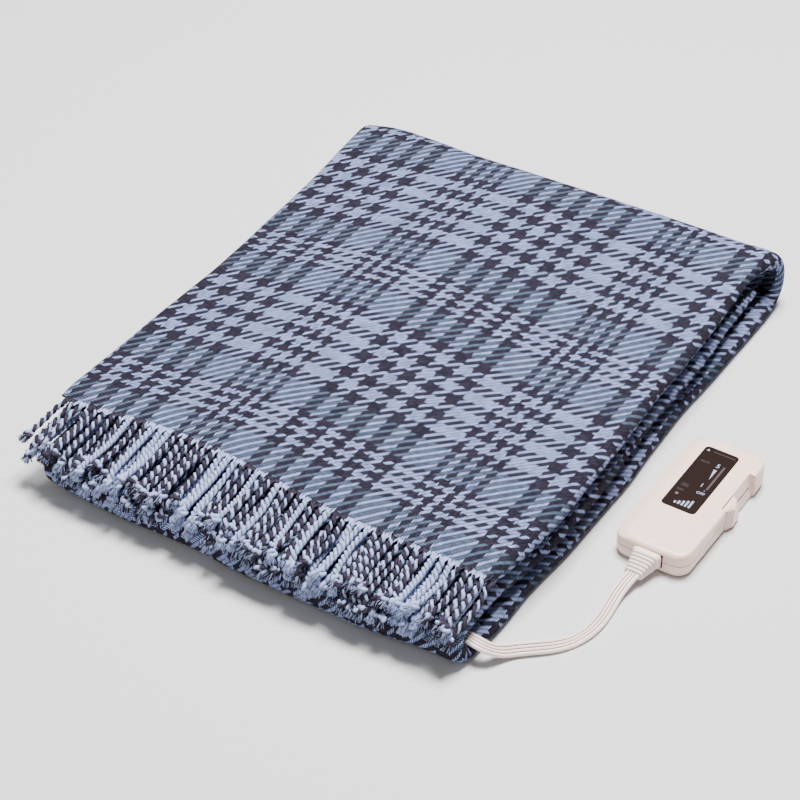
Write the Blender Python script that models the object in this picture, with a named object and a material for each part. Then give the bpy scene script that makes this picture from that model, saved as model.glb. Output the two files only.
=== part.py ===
# A folded, fringed electric heated blanket with its flat cord and hand controller.
# Metres. X runs across the folded blanket, Y from its fringed near end to its far
# fold, and Z is up from the surface that everything lies on.
import math

import bmesh
import bpy
from mathutils import Vector

# The blanket: the cloth is doubled across its width, with the rounded edge on the
# right, and the doubled cloth (a pack) is then folded in three along its length.
PLY = 0.0055  # one woven layer, with the thin heating wire lying inside it
PLY_GAP = 0.0040  # air between the two layers of a pack
PACK_GAP = 0.0070  # air between two packs
NEAR_DROP = 0.0040  # the top pack sinks this much towards its fringed end
DROP_REACH = 0.30  # over this share of its length
TUCK_CLEAR = 0.016  # from the far fold's centre to the end tucked inside it
INNER_STEP = 0.0030  # the inner layer's open edge stands this much further in
TOP_SWELL = 0.0010  # low, broad swells over the top
SWELL_ACROSS = 17.0  # radians a metre across the blanket
SWELL_ALONG = 4.1  # radians over the top's length
SWELL_START = 0.6

PACK = 2 * PLY + PLY_GAP
PITCH = PACK + PACK_GAP
PLY_OFFSET = (PLY + PLY_GAP) / 2
LOW_Z = PACK / 2
MIDDLE_Z = LOW_Z + PITCH
TOP_Z = LOW_Z + 2 * PITCH

# Lines that run across the blanket, uneven as the cloth lies:
# x, y of the fringed edge, y of the far fold's centre, y of the near fold's centre
CROSS_LINES = (
    (-0.205, -0.1935, 0.2460, -0.2235),
    (-0.180, -0.1912, 0.2548, -0.2240),
    (-0.150, -0.1868, 0.2571, -0.2270),
    (-0.100, -0.1795, 0.2566, -0.2292),
    (-0.040, -0.1790, 0.2590, -0.2270),
    (0.010, -0.1840, 0.2610, -0.2300),
    (0.060, -0.1890, 0.2630, -0.2297),
    (0.120, -0.1885, 0.2643, -0.2290),
    (0.165, -0.1870, 0.2652, -0.2240),
    (0.190, -0.1878, 0.2670, -0.2225),
    (0.207, -0.1870, 0.2640, -0.2222),
)
FRINGE_LINE = 1
FAR_LINE = 2
NEAR_LINE = 3

# Left and right edges of the three packs:
# y, top left, top right, middle left, middle right, bottom left, bottom right
SIDE_LINES = (
    (-0.240, -0.1930, 0.1985, -0.1740, 0.2020, -0.1705, 0.2050),
    (-0.190, -0.1925, 0.2005, -0.1760, 0.2015, -0.1715, 0.2078),
    (-0.145, -0.1900, 0.2060, -0.1775, 0.2068, -0.1735, 0.2072),
    (-0.100, -0.1876, 0.2097, -0.1790, 0.2100, -0.1750, 0.2098),
    (-0.050, -0.1866, 0.2080, -0.1770, 0.2100, -0.1760, 0.2102),
    (0.000, -0.1848, 0.2070, -0.1755, 0.2068, -0.1770, 0.2102),
    (0.050, -0.1858, 0.2040, -0.1760, 0.2035, -0.1778, 0.2072),
    (0.100, -0.1878, 0.2028, -0.1770, 0.2038, -0.1785, 0.2053),
    (0.150, -0.1898, 0.2012, -0.1780, 0.2026, -0.1815, 0.2062),
    (0.200, -0.1941, 0.1978, -0.1795, 0.1980, -0.1850, 0.2068),
    (0.240, -0.1980, 0.1960, -0.1800, 0.1970, -0.1890, 0.2070),
    (0.275, -0.2010, 0.2043, -0.1800, 0.1970, -0.1930, 0.2066),
)
TOP_SIDE = 1
MIDDLE_SIDE = 3
LOW_SIDE = 5

ACROSS_STEPS = 14  # faces across one layer
EDGE_STEPS = 6  # faces round the doubled cloth's right edge
PACK_STEPS = (9, 12, 8, 10, 7)  # along the top, far fold, bottom, near fold and middle

# The fringe: twisted strands, one row from each layer of the top pack.
STRANDS = 54
STRAND_HALF = 0.0021  # half of a strand's width
KNOT_HALF = 0.0025
ROOT_HALF = 0.0016  # half of a strand's square root
STRIP_DEPTH = 0.0040
FRINGE_GAP = 0.0007
FRINGE_CLEAR = 0.0012  # from the near fold's face to the lower row
ROW_RISE = 0.0050  # from the lower row to the upper one
FRINGE_INSET = 0.0030  # from the cloth's sides to the first and last strand
REST_AHEAD = 0.014  # where a strand comes down on the near fold, behind its centre
REST_RISE = 0.25  # share of its fall that is still to come there
FIRST_WRAP = math.radians(16)  # angles round the near fold, from straight up
KNOT_BACK = math.radians(20)  # the knot comes this far before the tip
UPPER_TIP = math.radians(69)
LOWER_TIP = math.radians(92)
TIP_SPREAD = math.radians(7)
TIP_SWAY = 0.0005

# The hand controller, parallel to the blanket's right edge.
CASE_LEFT = 0.2345
CASE_RIGHT = 0.2979
CASE_NEAR = -0.0682
CASE_FAR = 0.0724
CASE_HEIGHT = 0.0225
CASE_CORNER = 0.0120
CORNER_STEPS = 4
SIDE_BOW = 0.0005  # the sides swell gently outwards
NEAR_BOW = 0.0010
FAR_BOW = 0.0018
PART_LINE = 0.0115  # height of the joint between the two shells
PIECE_GAP = 0.0003
RECESS_NEAR = -0.0012
RECESS_FAR = 0.0475
RECESS_LOW_X = 0.2962  # the recess's wall leans inwards from here
RECESS_TOP_X = 0.2924
# height, how far in the shell's outline is drawn
BASE_PROFILE = (
    (0.0000, 0.0046),
    (0.0007, 0.0026),
    (0.0022, 0.0010),
    (0.0046, 0.0001),
    (PART_LINE, 0.0),
)
TOP_PROFILE = (
    (PART_LINE + PIECE_GAP, 0.0),
    (0.0177, 0.0001),
    (0.0199, 0.0007),
    (0.0214, 0.0020),
    (CASE_HEIGHT, 0.0046),
)

LABEL_LEFT = 0.2496
LABEL_RIGHT = 0.2780
LABEL_NEAR = -0.0184
LABEL_FAR = 0.0591
LABEL_CORNER = 0.0025
LABEL_POCKET = 0.0005
LABEL_THICK = 0.0005

LAMP_X = 0.2552
LAMP_Y = -0.0034
LAMP_RADIUS = 0.0014
LAMP_HEIGHT = 0.0004
LAMP_TAPER = 0.8  # its top's radius, as a share of its foot's
LAMP_SIDES = 12

# The slider's knob, at the near end of its recess.
KNOB_NEAR = -0.0009
KNOB_PEAK = 0.0068  # from its near end to where it stands out furthest
KNOB_LENGTH = 0.0195
KNOB_PROUD = 0.0022
KNOB_TIP = 0.0036  # its far end, out from the recess's wall
KNOB_TIP_LOW = 0.3  # share of that which its rounded top keeps
KNOB_SLANT = 0.0012  # the far end's slant in Y
# height, share of the proud peak that is left there
KNOB_PROFILE = ((0.0020, 0.8), (0.0034, 1.0), (0.0192, 1.0), (0.0208, 0.7), (0.0214, 0.2))

RELIEF_X = 0.2654
RELIEF_Z = 0.0127
RELIEF_END_X = 0.2640
RELIEF_END_Z = 0.0092
COLLAR_WIDTH = 0.0236
COLLAR_FRONT = 0.0206
COLLAR_HEIGHT = 0.0135
COLLAR_DEPTH = 0.0048
# share of the collar's depth, width
COLLAR_PROFILE = ((0.0, COLLAR_WIDTH), (0.3, COLLAR_WIDTH), (0.9, COLLAR_FRONT))
RIBS = 5
RIB_PITCH = 0.0030
RIB_WIDE = (0.0200, 0.0150)  # first and last rib
RIB_TALL = (0.0125, 0.0078)
GROOVE = 0.0009
# share of the pitch, how far a rib's section is drawn in
RIB_PROFILE = ((0.0, GROOVE), (0.25, GROOVE), (0.45, 0.0), (0.90, 0.00015))
RING_SIDES = 12
RING_SQUARENESS = 0.6  # 1 is an ellipse, and less is squarer

INLET_LEFT = 0.2605
INLET_RIGHT = 0.2860
INLET_LOW = 0.0050
INLET_TOP = 0.0186
INLET_PROUD = 0.0016
INLET_RIM = 0.0020
INLET_RECESS = 0.0009
INLET_SLOPE = 0.0004

# The flat cord lies on its broad side. It leaves the fold between the middle and
# bottom packs, drops over the edge to the floor and rises to the controller.
CORD_WIDTH = 0.0110
CORD_THICK = 0.0035
CORD_FLOOR_Z = CORD_THICK / 2 + 0.0003
CORD_FOLD_Z = PACK + CORD_THICK / 2 + 0.0004
CORD_ROUTE = (
    (0.1700, -0.2165, CORD_FOLD_Z),
    (0.1780, -0.2173, CORD_FOLD_Z),
    (0.1860, -0.2182, CORD_FOLD_Z),
    (0.1945, -0.2191, 0.0176),
    (0.2025, -0.2198, 0.0180),
    (0.2095, -0.2198, 0.0169),
    (0.2152, -0.2171, 0.0130),
    (0.2196, -0.2118, 0.0078),
    (0.2238, -0.2058, 0.0040),
    (0.2283, -0.2004, 0.0023),
    (0.2327, -0.1963, CORD_FLOOR_Z),
    (0.2372, -0.1923, CORD_FLOOR_Z),
    (0.2416, -0.1884, CORD_FLOOR_Z),
    (0.2460, -0.1842, CORD_FLOOR_Z),
    (0.2502, -0.1795, CORD_FLOOR_Z),
    (0.2541, -0.1742, CORD_FLOOR_Z),
    (0.2575, -0.1682, CORD_FLOOR_Z),
    (0.2603, -0.1616, CORD_FLOOR_Z),
    (0.2625, -0.1540, CORD_FLOOR_Z),
    (0.2637, -0.1450, CORD_FLOOR_Z),
    (0.2638, -0.1355, CORD_FLOOR_Z),
    (0.2630, -0.1260, CORD_FLOOR_Z),
    (0.2621, -0.1170, 0.0027),
    (0.2617, -0.1085, 0.0044),
    (0.2622, -0.1005, 0.0066),
    (0.2634, -0.0909, 0.0090),
)
CORD_POINTS = 44
CURVE_STEPS = 12  # fine steps between two points of the route

# The middle of the whole thing's footprint, which becomes the origin.
MIDDLE_X = 0.05005
MIDDLE_Y = 0.018825


def remove_everything():
    for old in list(bpy.data.objects):
        bpy.data.objects.remove(old)


def make_material(name, colour, roughness, metallic=0.0):
    material = bpy.data.materials.new(name)
    material.use_nodes = True
    shader = material.node_tree.nodes["Principled BSDF"]
    shader.inputs["Base Color"].default_value = (*colour, 1.0)
    shader.inputs["Roughness"].default_value = roughness
    shader.inputs["Metallic"].default_value = metallic
    return material


def make_object(name, mesh_data, material, smooth_angle=None):
    if material is not None:
        mesh_data.materials.append(material)
    if smooth_angle is not None:
        mesh_data.shade_smooth()
        mesh_data.set_sharp_from_angle(angle=math.radians(smooth_angle))
    made = bpy.data.objects.new(name, mesh_data)
    bpy.context.collection.objects.link(made)
    made.parent = bpy.data.objects["footprint_middle"]
    return made


def mesh_from(name, builder):
    mesh_data = bpy.data.meshes.new(name)
    builder.to_mesh(mesh_data)
    builder.free()
    return mesh_data


def smooth_step(t):
    t = min(max(t, 0.0), 1.0)
    return t * t * (3 - 2 * t)


def read_line(rows, column, at):
    # A smooth curve through one column of a table, read at a value of the first column.
    at = min(max(at, rows[0][0]), rows[-1][0])
    index = 0
    while index < len(rows) - 2 and at > rows[index + 1][0]:
        index += 1
    before = rows[max(index - 1, 0)]
    start = rows[index]
    end = rows[index + 1]
    after = rows[min(index + 2, len(rows) - 1)]
    span = end[0] - start[0]
    t = (at - start[0]) / span
    slope_in = (end[column] - before[column]) / (end[0] - before[0]) * span
    slope_out = (after[column] - start[column]) / (after[0] - start[0]) * span
    return (
        (2 * t**3 - 3 * t**2 + 1) * start[column]
        + (t**3 - 2 * t**2 + t) * slope_in
        + (3 * t**2 - 2 * t**3) * end[column]
        + (t**3 - t**2) * slope_out
    )


def top_height(x, along):
    drop = NEAR_DROP * (1 - smooth_step(along / DROP_REACH))
    swell = TOP_SWELL * math.sin(SWELL_ACROSS * x + SWELL_ALONG * along + SWELL_START)
    swell *= math.sin(math.pi * along) ** 2
    return TOP_Z - drop + swell


def fold_line(x, along):
    # Centre of the pack in the Y-Z plane. along counts the five stretches: top,
    # far fold, bottom, near fold and middle.
    fringe_y = read_line(CROSS_LINES, FRINGE_LINE, x)
    far_y = read_line(CROSS_LINES, FAR_LINE, x)
    near_y = read_line(CROSS_LINES, NEAR_LINE, x)
    stretch = min(int(along), 4)
    t = along - stretch
    if stretch == 0:
        return fringe_y + (far_y - fringe_y) * t, top_height(x, t)
    if stretch == 1:
        radius = (TOP_Z - LOW_Z) / 2
        return far_y + radius * math.sin(math.pi * t), LOW_Z + radius * (1 + math.cos(math.pi * t))
    if stretch == 2:
        return far_y + (near_y - far_y) * t, LOW_Z
    if stretch == 3:
        radius = (MIDDLE_Z - LOW_Z) / 2
        return near_y - radius * math.sin(math.pi * t), LOW_Z + radius * (1 - math.cos(math.pi * t))
    return near_y + (far_y - TUCK_CLEAR - near_y) * t, MIDDLE_Z


def fold_outward(x, along):
    # Unit vector out of the fold, square to the fold line.
    step = 0.002
    y0, z0 = fold_line(x, max(along - step, 0.0))
    y1, z1 = fold_line(x, min(along + step, 5.0))
    size = math.hypot(y1 - y0, z1 - z0)
    return -(z1 - z0) / size, (y1 - y0) / size


def side_limits(y, along):
    # Left and right edges of the cloth, passing from one pack's table to the next.
    past_far = smooth_step(along - 1)
    past_near = smooth_step(along - 3)
    limits = []
    for side in (0, 1):
        top = read_line(SIDE_LINES, TOP_SIDE + side, y)
        low = read_line(SIDE_LINES, LOW_SIDE + side, y)
        middle = read_line(SIDE_LINES, MIDDLE_SIDE + side, y)
        edge = top + (low - top) * past_far
        limits.append(edge + (middle - edge) * past_near)
    return limits


def cloth_point(across, along):
    # Mid-surface of the cloth. across runs 0 to 1 over the outer layer, 1 to 2
    # round the right edge and 2 to 3 back over the inner layer.
    y, _ = fold_line(0.0, along)
    left, right = side_limits(y, along)
    turn_x = right - PLY / 2 - PLY_OFFSET
    if across <= 1:
        x = left + (turn_x - left) * across
        offset = PLY_OFFSET
    elif across < 2:
        angle = math.pi * (across - 1)
        x = turn_x + PLY_OFFSET * math.sin(angle)
        offset = PLY_OFFSET * math.cos(angle)
    else:
        x = turn_x + (left + INNER_STEP - turn_x) * (across - 2)
        offset = -PLY_OFFSET
    y, z = fold_line(x, along)
    out_y, out_z = fold_outward(x, along)
    return Vector((x, y + offset * out_y, z + offset * out_z))


def build_blanket(material):
    across_values = [i / ACROSS_STEPS for i in range(ACROSS_STEPS)]
    across_values += [1 + i / EDGE_STEPS for i in range(EDGE_STEPS)]
    across_values += [2 + i / ACROSS_STEPS for i in range(ACROSS_STEPS + 1)]
    along_values = []
    for stretch, steps in enumerate(PACK_STEPS):
        along_values += [stretch + i / steps for i in range(steps)]
    along_values.append(float(len(PACK_STEPS)))
    middle = [[cloth_point(a, s) for s in along_values] for a in across_values]
    last_row = len(middle) - 1
    last_column = len(along_values) - 1

    builder = bmesh.new()
    outer = []
    inner = []
    for i, row in enumerate(middle):
        outer.append([])
        inner.append([])
        for j, point in enumerate(row):
            ahead = middle[min(i + 1, last_row)][j] - middle[max(i - 1, 0)][j]
            beside = row[min(j + 1, last_column)] - row[max(j - 1, 0)]
            normal = ahead.cross(beside).normalized()
            outer[i].append(builder.verts.new(point + normal * PLY / 2))
            inner[i].append(builder.verts.new(point - normal * PLY / 2))
    for i in range(last_row):
        for j in range(last_column):
            builder.faces.new((outer[i][j], outer[i + 1][j], outer[i + 1][j + 1], outer[i][j + 1]))
            builder.faces.new((inner[i][j], inner[i][j + 1], inner[i + 1][j + 1], inner[i + 1][j]))
        for j in (0, last_column):
            builder.faces.new((outer[i][j], outer[i + 1][j], inner[i + 1][j], inner[i][j]))
    for j in range(last_column):
        for i in (0, last_row):
            builder.faces.new((outer[i][j], outer[i][j + 1], inner[i][j + 1], inner[i][j]))
    bmesh.ops.recalc_face_normals(builder, faces=builder.faces)
    make_object("blanket", mesh_from("blanket", builder), material, 50)


def repeatable_noise(index, seed):
    # An even spread between -1 and 1, the same at every run.
    value = math.sin(index * 12.9898 + seed * 78.233) * 43758.5453
    return 2 * (value - math.floor(value)) - 1


def strand_path(x, layer_side, index, seed):
    # Centre line of one strand: out from the cloth, down on to the near fold and
    # round it. Returns its points and half of its width at each.
    fringe_y = read_line(CROSS_LINES, FRINGE_LINE, x)
    near_y = read_line(CROSS_LINES, NEAR_LINE, x)
    root_y = fringe_y - FRINGE_GAP - STRIP_DEPTH
    root_z = top_height(x, 0.0) + layer_side * PLY_OFFSET
    fold_z = LOW_Z + (MIDDLE_Z - LOW_Z) / 2
    radius = fold_z + FRINGE_CLEAR + STRAND_HALF
    tip = LOWER_TIP
    if layer_side > 0:
        radius += ROW_RISE
        tip = UPPER_TIP
    tip += TIP_SPREAD * repeatable_noise(index, seed)
    sway = TIP_SWAY * repeatable_noise(index, seed + 1)
    rest_y = near_y + REST_AHEAD
    rest_z = fold_z + radius + REST_RISE * (root_z - fold_z - radius)
    points = [Vector((x, root_y, root_z)), Vector((x, rest_y, rest_z))]
    sizes = [ROOT_HALF, STRAND_HALF, STRAND_HALF, STRAND_HALF, STRAND_HALF, KNOT_HALF, STRAND_HALF]
    knot = tip - KNOT_BACK
    wrap = (FIRST_WRAP, (FIRST_WRAP + knot) / 2, knot, tip - KNOT_BACK / 2, tip)
    for angle in wrap:
        side = x + sway * angle / tip
        points.append(Vector((side, near_y - radius * math.sin(angle), fold_z + radius * math.cos(angle))))
    return points, sizes


def build_fringe(name, layer_side, shift, seed, material):
    # A narrow strip along the cloth's edge, with the strands drawn out of its face.
    left, right = side_limits(read_line(CROSS_LINES, FRINGE_LINE, 0.0), 0.0)
    first_x = left + FRINGE_INSET
    pitch = (right - PLY - FRINGE_INSET - first_x) / STRANDS
    builder = bmesh.new()

    def ring_on_strip(x):
        back_y = read_line(CROSS_LINES, FRINGE_LINE, x) - FRINGE_GAP
        z = top_height(x, 0.0) + layer_side * PLY_OFFSET
        corners = (
            (back_y - STRIP_DEPTH, z - ROOT_HALF),
            (back_y - STRIP_DEPTH, z + ROOT_HALF),
            (back_y, z + ROOT_HALF),
            (back_y, z - ROOT_HALF),
        )
        return [builder.verts.new((x, y, height)) for y, height in corners]

    rings = []
    for index in range(STRANDS):
        centre = first_x + pitch * (index + 0.5 + shift)
        rings.append(ring_on_strip(centre - ROOT_HALF))
        rings.append(ring_on_strip(centre + ROOT_HALF))
    builder.faces.new(rings[0])
    builder.faces.new(rings[-1][::-1])
    for number in range(len(rings) - 1):
        one = rings[number]
        two = rings[number + 1]
        for side in range(4):
            after = (side + 1) % 4
            if side == 0 and number % 2 == 0:
                continue
            builder.faces.new((one[side], two[side], two[after], one[after]))
    for index in range(STRANDS):
        one = rings[2 * index]
        two = rings[2 * index + 1]
        centre = first_x + pitch * (index + 0.5 + shift)
        points, sizes = strand_path(centre, layer_side, index, seed)
        last = [one[0], two[0], two[1], one[1]]
        for number in range(1, len(points)):
            before = points[number - 1]
            ahead = points[min(number + 1, len(points) - 1)] - before
            up = Vector((1, 0, 0)).cross(ahead).normalized() * -1
            rise = up * sizes[number]
            across = Vector((sizes[number], 0, 0))
            corners = (-across - rise, across - rise, across + rise, -across + rise)
            ring = [builder.verts.new(points[number] + corner) for corner in corners]
            for side in range(4):
                after = (side + 1) % 4
                builder.faces.new((last[side], last[after], ring[after], ring[side]))
            last = ring
        builder.faces.new(last)
    bmesh.ops.recalc_face_normals(builder, faces=builder.faces)
    make_object(name, mesh_from(name, builder), material)


def corner_arc(x, y, radius, start, steps):
    points = []
    for step in range(steps + 1):
        angle = math.radians(start + 90 * step / steps)
        points.append((x + radius * math.cos(angle), y + radius * math.sin(angle)))
    return points


def recess_wall(height):
    return RECESS_LOW_X + (RECESS_TOP_X - RECESS_LOW_X) * height / CASE_HEIGHT


def case_section(height, inset):
    # The controller in plan at one height: gently bowed sides, rounded corners and
    # the slider's recess in the right side.
    left = CASE_LEFT + inset
    right = CASE_RIGHT - inset
    near = CASE_NEAR + inset
    far = CASE_FAR - inset
    radius = CASE_CORNER - inset
    middle_x = (left + right) / 2
    half_x = (right - left) / 2 - radius
    wall = recess_wall(height)
    points = corner_arc(left + radius, near + radius, radius, 180, CORNER_STEPS)
    points += [(middle_x - half_x / 2, near - NEAR_BOW), (middle_x + half_x / 2, near - NEAR_BOW)]
    points += corner_arc(right - radius, near + radius, radius, 270, CORNER_STEPS)
    side = right + SIDE_BOW
    points += [(side, RECESS_NEAR), (wall, RECESS_NEAR), (wall, RECESS_FAR), (side, RECESS_FAR)]
    points += corner_arc(right - radius, far - radius, radius, 0, CORNER_STEPS)
    points += [(middle_x + half_x / 2, far + FAR_BOW), (middle_x - half_x / 2, far + FAR_BOW)]
    points += corner_arc(left + radius, far - radius, radius, 90, CORNER_STEPS)
    points.append((left - SIDE_BOW, (near + far) / 2))
    return points


def loft_case(profile):
    builder = bmesh.new()
    rings = []
    for height, inset in profile:
        rings.append([builder.verts.new((*place, height)) for place in case_section(height, inset)])
    close_rings(builder, rings)
    return builder


def close_rings(builder, rings):
    # Walls between each ring and the next, and a face over each end.
    count = len(rings[0])
    for low, high in zip(rings, rings[1:]):
        for index in range(count):
            after = (index + 1) % count
            builder.faces.new((low[index], low[after], high[after], high[index]))
    builder.faces.new(rings[0][::-1])
    builder.faces.new(rings[-1])
    bmesh.ops.recalc_face_normals(builder, faces=builder.faces)


def rounded_plate(left, right, near, far, corner, low, high, steps=3):
    points = []
    for x, y, start in (
        (left + corner, near + corner, 180),
        (right - corner, near + corner, 270),
        (right - corner, far - corner, 0),
        (left + corner, far - corner, 90),
    ):
        points += corner_arc(x, y, corner, start, steps)
    builder = bmesh.new()
    rings = [[builder.verts.new((*point, height)) for point in points] for height in (low, high)]
    close_rings(builder, rings)
    return builder


def build_case(material):
    make_object("case_base", mesh_from("case_base", loft_case(BASE_PROFILE)), material, 35)
    upper = make_object("case_top", mesh_from("case_top", loft_case(TOP_PROFILE)), material, 35)
    pocket_floor = CASE_HEIGHT - LABEL_POCKET
    pocket = rounded_plate(
        LABEL_LEFT - PIECE_GAP,
        LABEL_RIGHT + PIECE_GAP,
        LABEL_NEAR - PIECE_GAP,
        LABEL_FAR + PIECE_GAP,
        LABEL_CORNER + PIECE_GAP,
        pocket_floor,
        CASE_HEIGHT + LABEL_POCKET,
    )
    cutter = make_object("label_pocket_cutter", mesh_from("label_pocket_cutter", pocket), None)
    cutter.hide_render = True
    cutter.display_type = "WIRE"
    cut = upper.modifiers.new("label_pocket", "BOOLEAN")
    cut.operation = "DIFFERENCE"
    cut.object = cutter


def build_label(material):
    low = CASE_HEIGHT - LABEL_POCKET + PIECE_GAP
    plate = rounded_plate(
        LABEL_LEFT, LABEL_RIGHT, LABEL_NEAR, LABEL_FAR, LABEL_CORNER, low, low + LABEL_THICK
    )
    make_object("label_panel", mesh_from("label_panel", plate), material)


def build_lamp(material):
    builder = bmesh.new()
    bmesh.ops.create_cone(
        builder,
        cap_ends=True,
        segments=LAMP_SIDES,
        radius1=LAMP_RADIUS,
        radius2=LAMP_RADIUS * LAMP_TAPER,
        depth=LAMP_HEIGHT,
    )
    lamp = make_object("lamp", mesh_from("lamp", builder), material, 40)
    label_top = CASE_HEIGHT - LABEL_POCKET + PIECE_GAP + LABEL_THICK
    lamp.location = (LAMP_X, LAMP_Y, label_top + PIECE_GAP + LAMP_HEIGHT / 2)


def build_knob(material):
    # The slider's knob fills the near end of the recess and swells past the side.
    # Its origin lies on the line that it slides along.
    builder = bmesh.new()
    rings = []
    for height, share in KNOB_PROFILE:
        wall = recess_wall(height) + PIECE_GAP - CASE_RIGHT
        side = SIDE_BOW * share
        outline = (
            (wall, 0.0),
            (side, 0.0),
            (side + KNOB_PROUD * share, KNOB_PEAK),
            (wall + KNOB_TIP * max(share, KNOB_TIP_LOW), KNOB_LENGTH - KNOB_SLANT),
            (wall, KNOB_LENGTH),
        )
        rings.append([builder.verts.new((x, y, height)) for x, y in outline])
    close_rings(builder, rings)
    knob = make_object("slider_knob", mesh_from("slider_knob", builder), material, 35)
    knob.location = (CASE_RIGHT, KNOB_NEAR, 0.0)


def oval_ring(builder, centre, width, height):
    # A rounded cross-section in the X-Z plane.
    ring = []
    for index in range(RING_SIDES):
        angle = 2 * math.pi * (index + 0.5) / RING_SIDES
        cosine = math.cos(angle)
        sine = math.sin(angle)
        across = math.copysign(abs(cosine) ** RING_SQUARENESS, cosine) * width / 2
        up = math.copysign(abs(sine) ** RING_SQUARENESS, sine) * height / 2
        ring.append(builder.verts.new((centre.x + across, centre.y, centre.z + up)))
    return ring


def build_relief(material):
    # The ribbed sleeve that the flat cord enters, from its collar to its narrow end.
    start_y = CASE_NEAR - NEAR_BOW - PIECE_GAP
    length = COLLAR_DEPTH + RIBS * RIB_PITCH
    stations = [(COLLAR_DEPTH * share, width, COLLAR_HEIGHT) for share, width in COLLAR_PROFILE]
    for rib in range(RIBS):
        share = rib / (RIBS - 1)
        wide = RIB_WIDE[0] + (RIB_WIDE[1] - RIB_WIDE[0]) * share
        tall = RIB_TALL[0] + (RIB_TALL[1] - RIB_TALL[0]) * share
        for part_way, inset in RIB_PROFILE:
            distance = COLLAR_DEPTH + (rib + part_way) * RIB_PITCH
            stations.append((distance, wide - 2 * inset, tall - 2 * inset))
    builder = bmesh.new()
    rings = []
    for distance, wide, tall in stations:
        share = distance / length
        centre = Vector((
            RELIEF_X + (RELIEF_END_X - RELIEF_X) * share,
            start_y - distance,
            RELIEF_Z + (RELIEF_END_Z - RELIEF_Z) * share,
        ))
        rings.append(oval_ring(builder, centre, wide, tall))
    close_rings(builder, rings)
    make_object("cord_sleeve", mesh_from("cord_sleeve", builder), material, 30)


def build_inlet(material):
    # The mains inlet: a collar on the far end with a shallow face drawn in.
    builder = bmesh.new()
    near_y = CASE_FAR + FAR_BOW + PIECE_GAP
    far_y = near_y + INLET_PROUD
    corners = (
        (INLET_LEFT, INLET_LOW),
        (INLET_RIGHT, INLET_LOW),
        (INLET_RIGHT, INLET_TOP),
        (INLET_LEFT, INLET_TOP),
    )
    near = [builder.verts.new((x, near_y, z)) for x, z in corners]
    far = [builder.verts.new((x, far_y, z)) for x, z in corners]
    for index in range(4):
        after = (index + 1) % 4
        builder.faces.new((near[index], near[after], far[after], far[index]))
    builder.faces.new(near[::-1])
    face = builder.faces.new(far)
    bmesh.ops.recalc_face_normals(builder, faces=builder.faces)
    bmesh.ops.inset_individual(builder, faces=[face], thickness=INLET_RIM, depth=0.0)
    bmesh.ops.inset_individual(builder, faces=[face], thickness=INLET_SLOPE, depth=-INLET_RECESS)
    make_object("mains_inlet", mesh_from("mains_inlet", builder), material)


def cord_centre_line():
    # Evenly spaced points on a smooth curve through the route.
    route = [Vector(point) for point in CORD_ROUTE]
    fine = []
    for index in range(len(route) - 1):
        before = route[max(index - 1, 0)]
        start = route[index]
        end = route[index + 1]
        after = route[min(index + 2, len(route) - 1)]
        for step in range(CURVE_STEPS):
            t = step / CURVE_STEPS
            bend = (2 * before - 5 * start + 4 * end - after) * t**2
            bend += (3 * start - before - 3 * end + after) * t**3
            fine.append((2 * start + (end - before) * t + bend) / 2)
    fine.append(route[-1])
    lengths = [0.0]
    for one, two in zip(fine, fine[1:]):
        lengths.append(lengths[-1] + (two - one).length)
    points = []
    index = 0
    for number in range(CORD_POINTS):
        wanted = lengths[-1] * number / (CORD_POINTS - 1)
        while index < len(fine) - 2 and lengths[index + 1] < wanted:
            index += 1
        share = (wanted - lengths[index]) / (lengths[index + 1] - lengths[index])
        points.append(fine[index].lerp(fine[index + 1], min(share, 1.0)))
    return points


def build_cord(material):
    line = bpy.data.curves.new("cord", "CURVE")
    line.dimensions = "3D"
    line.bevel_depth = CORD_THICK / 2
    line.extrude = (CORD_WIDTH - CORD_THICK) / 2
    line.bevel_resolution = 2
    line.use_fill_caps = True
    line.twist_mode = "Z_UP"
    points = cord_centre_line()
    spline = line.splines.new("POLY")
    spline.points.add(len(points) - 1)
    for place, point in zip(spline.points, points):
        place.co = (*point, 1.0)
        place.tilt = math.pi / 2
    line.materials.append(material)
    cord = bpy.data.objects.new("cord", line)
    bpy.context.collection.objects.link(cord)
    cord.parent = bpy.data.objects["footprint_middle"]


def build_all():
    remove_everything()
    footprint = bpy.data.objects.new("footprint_middle", None)
    footprint.location = (-MIDDLE_X, -MIDDLE_Y, 0.0)
    bpy.context.collection.objects.link(footprint)

    cloth = make_material("woven_check_cloth", (0.22, 0.25, 0.35), 0.9)
    yarn = make_material("twisted_yarn", (0.28, 0.30, 0.40), 0.9)
    housing = make_material("moulded_abs", (0.76, 0.69, 0.66), 0.38)
    label = make_material("printed_label", (0.05, 0.03, 0.025), 0.3)
    lens = make_material("clear_red_lens", (0.25, 0.12, 0.11), 0.15)
    rubber = make_material("ivory_pvc", (0.82, 0.79, 0.74), 0.42)

    build_blanket(cloth)
    build_fringe("fringe_upper", 1, 0.0, 3, yarn)
    build_fringe("fringe_lower", -1, 0.5, 11, yarn)
    build_case(housing)
    build_label(label)
    build_lamp(lens)
    build_knob(housing)
    build_relief(rubber)
    build_inlet(housing)
    build_cord(rubber)


build_all()
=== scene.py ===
import math

import bmesh
import bpy
from mathutils import Matrix, Vector, noise


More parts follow.
